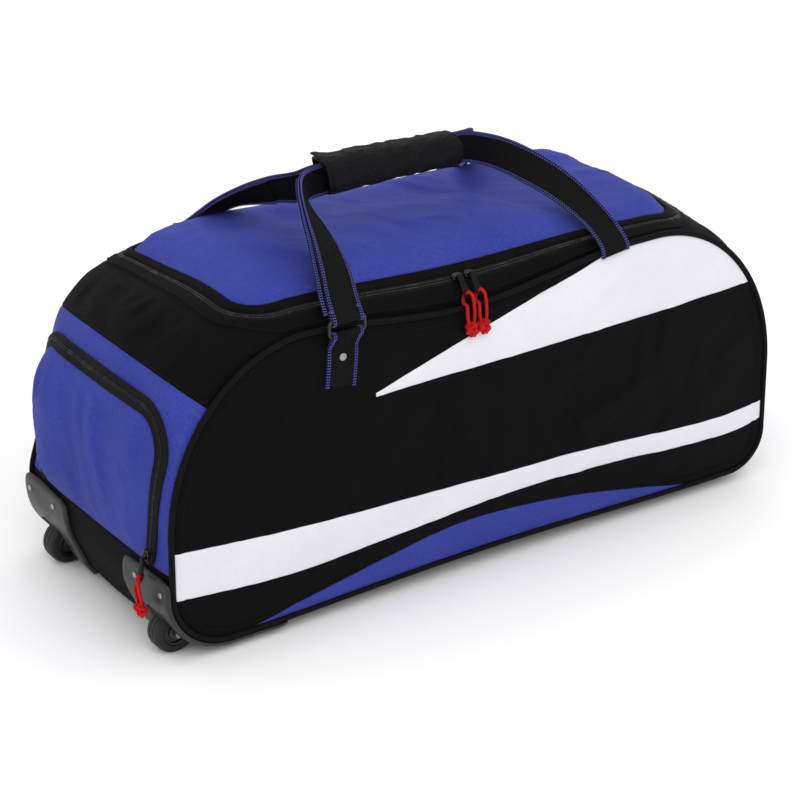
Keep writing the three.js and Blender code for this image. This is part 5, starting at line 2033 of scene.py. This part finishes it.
@dataclass
class WheelsAndGuards:
    """Wheels, their axles and the moulded guards that hold them."""

    x: float = -382.0
    y: float = 118.0
    radius: float = 25.0
    width: float = 24.0
    hub: float = 15.0
    axle: float = 4.0
    well: float = 30.0
    well_half: float = 16.0
    well_turn: tuple = (-38.0, 128.0)
    wall: float = 3.0
    inner: float = 64.0
    outer: float = 159.0
    plate: float = 5.0
    hole_share: float = 0.93
    seat: float = 0.5
    top: float = 102.0
    foot: float = -258.0
    rivet: tuple = (3.6, 1.6)
    rivet_level: float = 86.0
    rivet_across: tuple = (92.0, 146.0)

    def build(self) -> None:
        """Make both wheels and guards."""
        for side in Side:
            self._guard(side)
            self._wheel(side)

    def surface(self, side: Side) -> Surface:
        """Guard's surface, which follows the gusset and steps out over the piping.

        Args:
            side: Side of the bag.

        Returns:
            Place of a point at a lift.
        """
        def place(spots: Array, lift: Array) -> Array:
            """Point at a distance along the outline, a distance across and a lift.

            Args:
                spots: Rows of place in the surface's own coordinates.
                lift: Lift of each.

            Returns:
                Points in millimetres.
            """
            x, z, out_x, out_z = FORM.seam(spots[:, 0])
            bulge = FORM.bulge(x, out_z) * FORM.dome(spots[:, 1])
            rise = self.seat + lift
            out = np.maximum(bulge, FORM.piping_radius + FORM.seam_gap) + rise
            low = np.where(out_z < -0.2, FORM.floor(x) - rise, 0.0)
            return np.stack([x + out_x * out, side.sign * spots[:, 1], np.maximum(z + out_z * out, low)], axis=1)
        return place

    def _guard(self, side: Side) -> None:
        """Moulded plate with rounded edges, a wheel well and rivets.

        Args:
            side: Side of the bag.
        """
        surface = self.surface(side)
        start = FORM.run_at_height(End.WHEEL, self.top)
        stop = FORM.length + self.foot - (FORM.wheel_end_radius - FORM.half_length)
        outline = self._outline(start, stop)
        hole = np.abs(BASE.well(side))
        shrink = np.array([[hole[:, 0].mean(), hole[:, 1].mean()]])
        hole = shrink + (hole - shrink) * self.hole_share
        pattern = Pattern.cut([outline, hole], 4.5, rings=(0.8, 2.2))
        lift = self.plate + softened(pattern.depth, 2.4, 3.4)
        parts = [(pattern.sew(surface, lift, 0.0), WEAR.guard)]
        count = len(pattern.spots)
        parts[0][0].points[count:] = surface(pattern.spots, np.full(count, 0.1))
        parts += [(shell, WEAR.guard) for shell in self._well(side)]
        Bench.solid(f"guard_{side.value}", "moulded", parts, "plastic_grey", sharp=50.0)
        level = FORM.run_at_height(End.WHEEL, self.rivet_level)
        for index, across in enumerate(self.rivet_across):
            spot = np.array([[level, across]])
            foot = surface(spot, np.array([self.plate]))[0]
            out = unit(surface(spot, np.array([self.plate + 1.0]))[0] - foot)
            Bench.solid(f"guard_rivet_{side.value}_{index + 1}", "head", [(domed(foot, out, *self.rivet), WEAR.metal)],
                        "metal")

    def _outline(self, start: float, stop: float) -> Array:
        """Guard outline in gusset coordinates, wider at its foot, with round corners.

        Args:
            start: Distance along the outline at its top.
            stop: Distance along the outline at its foot.

        Returns:
            The closed outline.
        """
        rows = [(start, self.inner + 12), (start + 3, self.inner + 4), (start + 12, self.inner),
                (start + 70, self.inner - 3), (stop - 40, self.inner - 3), (stop - 12, self.inner + 8),
                (stop, self.inner + 28),
                (stop, self.outer - 6), (stop - 3, self.outer), (stop - 40, self.outer), (start + 30, self.outer),
                (start + 5, self.outer), (start, self.outer - 5)]
        line = spline([*rows, rows[0]], 8)[:-1]
        return subdivide(line, 4.5, True)

    def _well(self, side: Side) -> list:
        """Liner of the wheel well: a curved wall and two cheeks.

        Args:
            side: Side of the bag.

        Returns:
            Shells of the wall and the cheeks.
        """
        angles = np.radians(np.linspace(*self.well_turn, 40))
        centre = np.array([self.x, side.sign * self.y, self.radius])
        spokes = np.stack([np.cos(angles), np.zeros(40), np.sin(angles)], axis=1)

        def liner(corners: Sequence, girth: Sequence) -> Shell:
            """Wall whose section has corners of radius and offset."""
            rings = np.stack([[centre + spoke * r + [0, w, 0] for r, w in corners] for spoke in spokes])
            return swept(rings, False, np.arange(40) * 2.0, np.array(girth))

        half, near, far, bore = self.well_half, self.well, self.well + self.wall - 0.6, self.axle + 0.4
        shells = [liner([(near, -half), (near, half), (far, half), (far, -half)], [0.0, 32, 35, 67])]
        for way in (-1.0, 1.0):
            low, high = way * half, way * (half + self.wall - 0.6)
            shells.append(liner([(bore, low), (far, low), (far, high), (bore, high)], [0.0, 29, 32, 61]))
        return shells

    def _wheel(self, side: Side) -> None:
        """Tyre with a rounded tread, dished hub and axle.

        Args:
            side: Side of the bag.
        """
        centre = np.array([self.x, side.sign * self.y, self.radius])
        half, r, hub = self.width / 2, self.radius, self.hub
        tyre = [(hub, -half + 1), (hub + 1, -half), (r - 4.5, -half), (r - 2.2, -half + 0.9), (r - 0.7, -half + 2.8),
                (r, -half + 5.5), (r, -4.2), (r - 0.9, -3.7), (r - 0.9, -2.9), (r, -2.4)]
        body = f"wheel_{side.value}"
        Bench.solid(f"wheel_tyre_{side.value}", "tread", [(turned(mirrored(tyre), centre, 64), WEAR.tyre)], "tyre",
                    body, 30.0)
        rim, bore = hub - 0.15, self.axle + 0.3
        dish = [(bore, -half), (bore + 3.5, -half), (bore + 4.2, -half + 0.8), (bore + 4.6, -half + 3),
                (rim - 2.8, -half + 3), (rim - 2.2, -half + 0.6), (rim - 0.6, -half), (rim, -half + 0.6)]
        Bench.solid(f"wheel_hub_{side.value}", "dish", [(turned(mirrored(dish), centre, 48), WEAR.hub)],
                    "plastic_grey", body, 30.0)
        reach = self.well_half + self.wall - 0.4
        pin = [(0.05, -reach), (self.axle - 0.6, -reach), (self.axle, -reach + 0.6)]
        Bench.solid(f"wheel_axle_{side.value}", "pin", [(turned(mirrored(pin), centre, 24), WEAR.metal)], "metal",
                    sharp=30.0)


WHEELS = WheelsAndGuards()
BASE = EndsAndBase()


@dataclass
class CarryHandle:
    """Webbing straps, their patches, rings and rivets, and the padded wrap."""

    width: float = 38.0
    thickness: float = 1.8
    grip_depth: float = 32.0
    grip_x: float = -22.0
    grip_z: float = 441.0
    grip_slope: float = -0.03
    left: float = -186.0
    right: float = 171.0
    spacing: float = 4.4
    patch_foot: float = 284.0
    patch_top: float = 348.0
    patch_lean: float = 9.0
    ring: tuple = (48.0, 20.0, 4.0)
    rivet: tuple = (4.5, 1.8)
    squareness: float = 0.62
    wrap_length: float = 176.0
    wrap_left_height: float = 45.0
    wrap_right_height: float = 39.0
    wrap_left_rise: float = 5.0
    wrap_right_rise: float = 5.0
    wrap_turn: tuple = (-297.0, 108.0)
    wrap_padding: float = 2.6
    edge_stitch: tuple = (2.5, 1.5, 1.2)
    tail_aside: tuple = (6.5, 2.5)
    tail_gap: float = 2.7
    tail_reach: tuple = (-150.0, 366.0)
    tail_samples: int = 60

    def level(self, x: float) -> float:
        """Height of the wrap's middle."""
        return self.grip_z + self.grip_slope * (x - self.grip_x)

    def route(self, side: Side) -> Array:
        """Rows of x, distance out, z and how far the webbing has turned upright.

        Args:
            side: Side of the bag.

        Returns:
            The rows.
        """
        half = self.spacing / 2
        foot = [(self.right, 162.4, 345, 0), (170, 161.3, 354, 0), (167, 143, 371, 0.03)]
        near_right = [(161, 116, 387, 0.12), (148, 88, 405, 0.3), (129, 57, 421, 0.55), (108, 28, 433, 0.8)]
        back_right = [(161, 116, 384, 0.12), (148, 88, 398, 0.3), (127, 57, 411, 0.55), (105, 28, 424, 0.8)]
        held = [(92, 10, 438, 0.95), (76, half, self.level(76) + 3.0, 1), (self.grip_x, half, self.grip_z + 3.0, 1),
                (-118, half, self.level(-118), 1)]
        near = [(-134, 10, 445, 0.95), (-150, 30, 447, 0.8), (-161, 56, 442, 0.6), (-166, 80, 430, 0.42),
                (-169, 105, 413, 0.25), (-175, 130, 396, 0.1), (-182, 152, 377, 0.02)]
        back = [(-132, 10, 438, 0.95), (-150, 34, 433, 0.72), (-165, 62, 424, 0.45), (-175, 90, 412, 0.22),
                (-180, 118, 395, 0.08), (-184, 143, 377, 0.02)]
        turn = [(self.left, out, z, 0) for out, z in self.round_bar(self.bar_level(1.0), -1.0)]
        tail = [(self.left, 162.4, 364, 0), (self.left, 161.6, 369, 0)]
        legs = (near_right, near) if side is Side.NEAR else (back_right, back)
        return np.array([*foot, *legs[0], *held, *legs[1], *turn, *tail], float)

    @property
    def over_piping(self) -> float:
        """Distance out of webbing that lies over the piping."""
        return FORM.half_width + FORM.piping_radius + 0.9

    @property
    def ring_out(self) -> float:
        """Distance out of the ring's bar."""
        return self.over_piping + 2 * self.thickness + 0.3 + self.ring[2] / 2

    def bar_level(self, share: float) -> float:
        """Height of the ring's lower or upper bar."""
        low = self.patch_top - self.ring[1] / 3 + self.ring[2] / 2
        return low + share * (self.ring[1] - self.ring[2])

    def round_bar(self, level: float, way: float) -> list:
        """Rows of distance out and height round a bar, from its front to its back, below or above it.

        Args:
            level: Height of the bar.
            way: One for above it, minus one for below.

        Returns:
            The rows.
        """
        reach = self.ring[2] / 2 + self.thickness / 2 + 0.35
        return [(self.ring_out + reach * math.cos(turn), level + way * reach * math.sin(turn))
                for turn in np.linspace(-0.5, math.pi + 0.3, 7)]

    def build(self) -> None:
        """Make both straps with their hardware, and the wrap."""
        for side in Side:
            self._strap(side)
            self._patch(side)
        self._wrap()

    def _frames(self, side: Side, rows: Array) -> tuple:
        """Centre, direction across and direction through the webbing along a route.

        Args:
            side: Side of the bag.
            rows: Rows of the route.

        Returns:
            The three arrays.
        """
        fine = spline(rows, 14)
        centres = np.stack([fine[:, 0], side.sign * fine[:, 1], fine[:, 2]], axis=1)
        turn = clamp01(fine[:, 3]) * math.pi / 2
        way = np.tanh((fine[:, 0] - self.grip_x) / 6.0)
        wide = np.stack([way * np.cos(turn), np.zeros(len(fine)), np.sin(turn)], axis=1)
        return centres, *self._spread(centres, wide)

    @staticmethod
    def _spread(centres: Array, wide: Array) -> tuple:
        """Directions across and through webbing along its middle line.

        Args:
            centres: The middle line.
            wide: Directions that it should lie along.

        Returns:
            Both arrays.
        """
        run = unit(np.gradient(centres, axis=0))
        across = unit(wide - run * (wide * run).sum(1, keepdims=True))
        return across, np.cross(across, run)

    def _band(self, centres: Array, across: Array, through: Array) -> Shell:
        """Band of webbing with soft edges.

        Args:
            centres: Middle line of the webbing.
            across: Directions across it.
            through: Directions through it.

        Returns:
            A closed shell.
        """
        half, thick = self.width / 2, self.thickness / 2
        profile = [(-half, 0.0), (-half + 0.3, 0.75 * thick), (-half + 1.2, thick), (-half * 0.5, thick), (0, thick),
                   (half * 0.5, thick), (half - 1.2, thick), (half - 0.3, 0.75 * thick), (half, 0.0)]
        ring = [*profile, *[(a, -b) for a, b in reversed(profile[1:-1])]]
        rings = np.stack([centres + a * across + b * through for a, b in ring], axis=1)
        return swept(rings, False, lengths(centres), np.array([a for a, _ in ring]))

    def _edges(self, name: str, centres: Array, across: Array, through: Array) -> None:
        """Two slanted rows of blue edge thread on each edge and each face.

        Args:
            name: Name of the band.
            centres: Middle line of the webbing.
            across: Directions across it.
            through: Directions through it.
        """
        for label, slant, inset in (("a", 0.8, 1.1), ("b", -0.8, 3.5)):
            rows = []
            for face in (-1.0, 1.0):
                for edge in (-1.0, 1.0):
                    reach = edge * (self.width / 2 - inset)
                    line = resample(centres + across * reach + through * face * (self.thickness / 2 + 0.25), 3.0)
                    given, place = np.linspace(0, 1, len(through)), np.linspace(0, 1, len(line))
                    out = np.stack([np.interp(place, given, through[:, k]) for k in range(3)], axis=1)
                    rows.append((line, unit(out * face)))
            ROWS.lay(f"{name}_edge_{label}", rows, WEAR.blue_thread, 3.0, self.edge_stitch, slant, slot="webbing")

    def _strap(self, side: Side) -> None:
        """Strap from its right seam through the wrap and round its left ring, with its doubled tail.

        Args:
            side: Side of the bag.
        """
        centres, across, through = self._frames(side, self.route(side))
        name = f"strap_{side.value}"
        parts = [(self._band(centres, across, through), WEAR.webbing)]
        self._edges(name, centres, across, through)
        early = np.arange(len(centres)) < len(centres) - self.tail_samples
        leg = np.flatnonzero((centres[:, 0] < self.tail_reach[0]) & (centres[:, 2] > self.tail_reach[1]) & early)
        outward = np.sign(through[leg] @ np.array([-0.2, side.sign, 0.7]))[:, None]
        sideways = across[leg] * np.sign(across[leg][:, :1])
        shift = ease(np.linspace(0.15, 1.3, len(leg)))[:, None]
        aside = self.tail_aside[0 if side is Side.NEAR else 1]
        doubled = centres[leg] - through[leg] * outward * self.tail_gap - sideways * aside * shift
        parts.append((self._band(doubled, across[leg], through[leg]), WEAR.webbing))
        self._edges(f"{name}_tail", doubled, across[leg], through[leg])
        Bench.solid(name, "webbing", parts, "webbing")

    def _patch(self, side: Side) -> None:
        """Sewn patch, its rivet and the ring that the strap hangs on.

        Args:
            side: Side of the bag.
        """
        surface = FORM.panel(side)
        levels = np.linspace(self.patch_foot, self.patch_top - 22, 9)
        share = (levels - self.patch_foot) / (self.patch_top - self.patch_foot)
        x = self.left - self.patch_lean * (1 - share)
        lying = np.abs(surface(np.stack([x, levels], axis=1), np.full(9, 0.6))[:, 1])
        out = np.maximum(lying, self.over_piping * ease(2 * share)) + self.thickness / 2 + 0.3
        rows = [*zip(x, out, levels), (self.left - 1.5, 165.5, self.patch_top - 14)]
        rows += [(self.left, far, z) for far, z in self.round_bar(self.bar_level(0.0), 1.0)]
        rows += [(self.left, self.over_piping + 1.4, self.patch_top - 14)]
        fine = spline(rows, 8)
        centres = fine * [1.0, side.sign, 1.0]
        across, through = self._spread(centres, np.tile([1.0, 0.0, 0.0], (len(fine), 1)))
        name = f"strap_patch_{side.value}"
        Bench.solid(name, "webbing", [(self._band(centres, across, through), WEAR.webbing)], "webbing")
        self._edges(name, centres, across, through)
        outward = np.array([0.0, side.sign, 0.0])
        middle = int(np.argmin(np.abs(centres[:60, 2] - (self.patch_foot + self.patch_top) / 2)))
        seat = centres[middle] + outward * self.thickness / 2
        head = domed(seat, outward, *self.rivet)
        Bench.solid(f"strap_rivet_{side.value}", "head", [(head, WEAR.metal)], "metal")
        self._ring(side)

    def _ring(self, side: Side) -> None:
        """Rectangular ring of round bar.

        Args:
            side: Side of the bag.
        """
        width, _, bar = self.ring
        flat = rounded_rectangle(self.left - width / 2 + bar / 2, self.left + width / 2 - bar / 2, self.bar_level(0.0),
                                 self.bar_level(1.0), 3.5, 3.5)
        line = subdivide(flat, 2.5, True)
        points = np.stack([line[:, 0], np.full(len(line), side.sign * self.ring_out), line[:, 1]], axis=1)
        Bench.solid(f"strap_ring_{side.value}", "bar", [(tube(points, bar / 2, 12, True), WEAR.guard)], "plastic_grey")

    def _wrap(self) -> None:
        """Padded wrap: one sheet wound round both straps, its free edge lying along the top."""
        along = np.linspace(-self.wrap_length / 2, self.wrap_length / 2, 72)
        turns = np.linspace(*self.wrap_turn, 150)
        spots = np.stack(np.meshgrid(along, turns, indexing="ij"), axis=-1).reshape(-1, 2)
        share = clamp01(spots[:, 0] / self.wrap_length + 0.5)
        angle = np.radians(spots[:, 1])
        cos, sin = np.cos(angle), np.sin(angle)
        crumple = 1.1 * ripples(spots * [1.0, 0.5], 61, 46.0, 2.2, 78.0) + 0.5 * ripples(spots * [1.0, 0.5], 67, 21.0)
        wound = self.wrap_padding * ease((spots[:, 1] - self.wrap_turn[0]) / 95.0)
        free = ease((spots[:, 1] - 74.0) / 34.0)
        tip = free * ease((0.14 - share) / 0.14)
        reach = wound - self.wrap_padding + crumple + 1.2 * free + 2.5 * tip
        slant = 6.0 * sin * ease((0.3 - share) / 0.3) + 8.0 * np.maximum(sin, 0.0) * ease((share - 0.72) / 0.28)
        x = self.grip_x + spots[:, 0] - slant - 2.5 * tip

        def skin(inset: float) -> Array:
            """Points of the wrap at an inset from its outside.

            Args:
                inset: Distance from the outside.

            Returns:
                Points in millimetres.
            """
            half_y = self.grip_depth / 2 + reach - inset
            half_z = mix(self.wrap_left_height / 2, self.wrap_right_height / 2, ease(share * 1.2)) + reach - inset
            y = -half_y * np.sign(cos) * np.abs(cos) ** self.squareness
            z = half_z * np.sign(sin) * np.abs(sin) ** self.squareness
            rise = mix(self.wrap_left_rise, self.wrap_right_rise, share)
            return np.stack([x, y, self.level(x) + rise + z], axis=1)

        rows, count, total = len(along), len(turns), len(spots)
        faces = []
        for i in range(rows - 1):
            for j in range(count - 1):
                a, b, c, d = i * count + j, i * count + j + 1, (i + 1) * count + j + 1, (i + 1) * count + j
                faces += [(a, b, c, d), (d + total, c + total, b + total, a + total)]
        rim = [*((0, j) for j in range(count)), *((i, count - 1) for i in range(1, rows)),
               *((rows - 1, j) for j in range(count - 2, -1, -1)), *((i, 0) for i in range(rows - 2, 0, -1))]
        index = [i * count + j for i, j in rim]
        faces += [(b, a, a + total, b + total) for a, b in zip(index, [*index[1:], index[0]])]
        flat = spots * [1.0, 0.37] * MM
        shell = Shell(np.vstack([skin(0.0), skin(2.2)]), faces, np.vstack([flat, flat])).outward()
        wrap = Bench.solid("grip", "wrap", [(shell, WEAR.wrap)], "fabric_black")


HANDLE = CarryHandle()


def main() -> None:
    """Build the scene in order."""
    logging.basicConfig(level=logging.INFO, format="%(message)s")
    Studio().build()
    ZipPulls().build()
    for assembly in (SidePanels(), LID, BASE, POCKET, WHEELS, HANDLE):
        assembly.build()
    LOG.info("%d pieces", Bench.count)


if __name__ == "__main__":
    main()
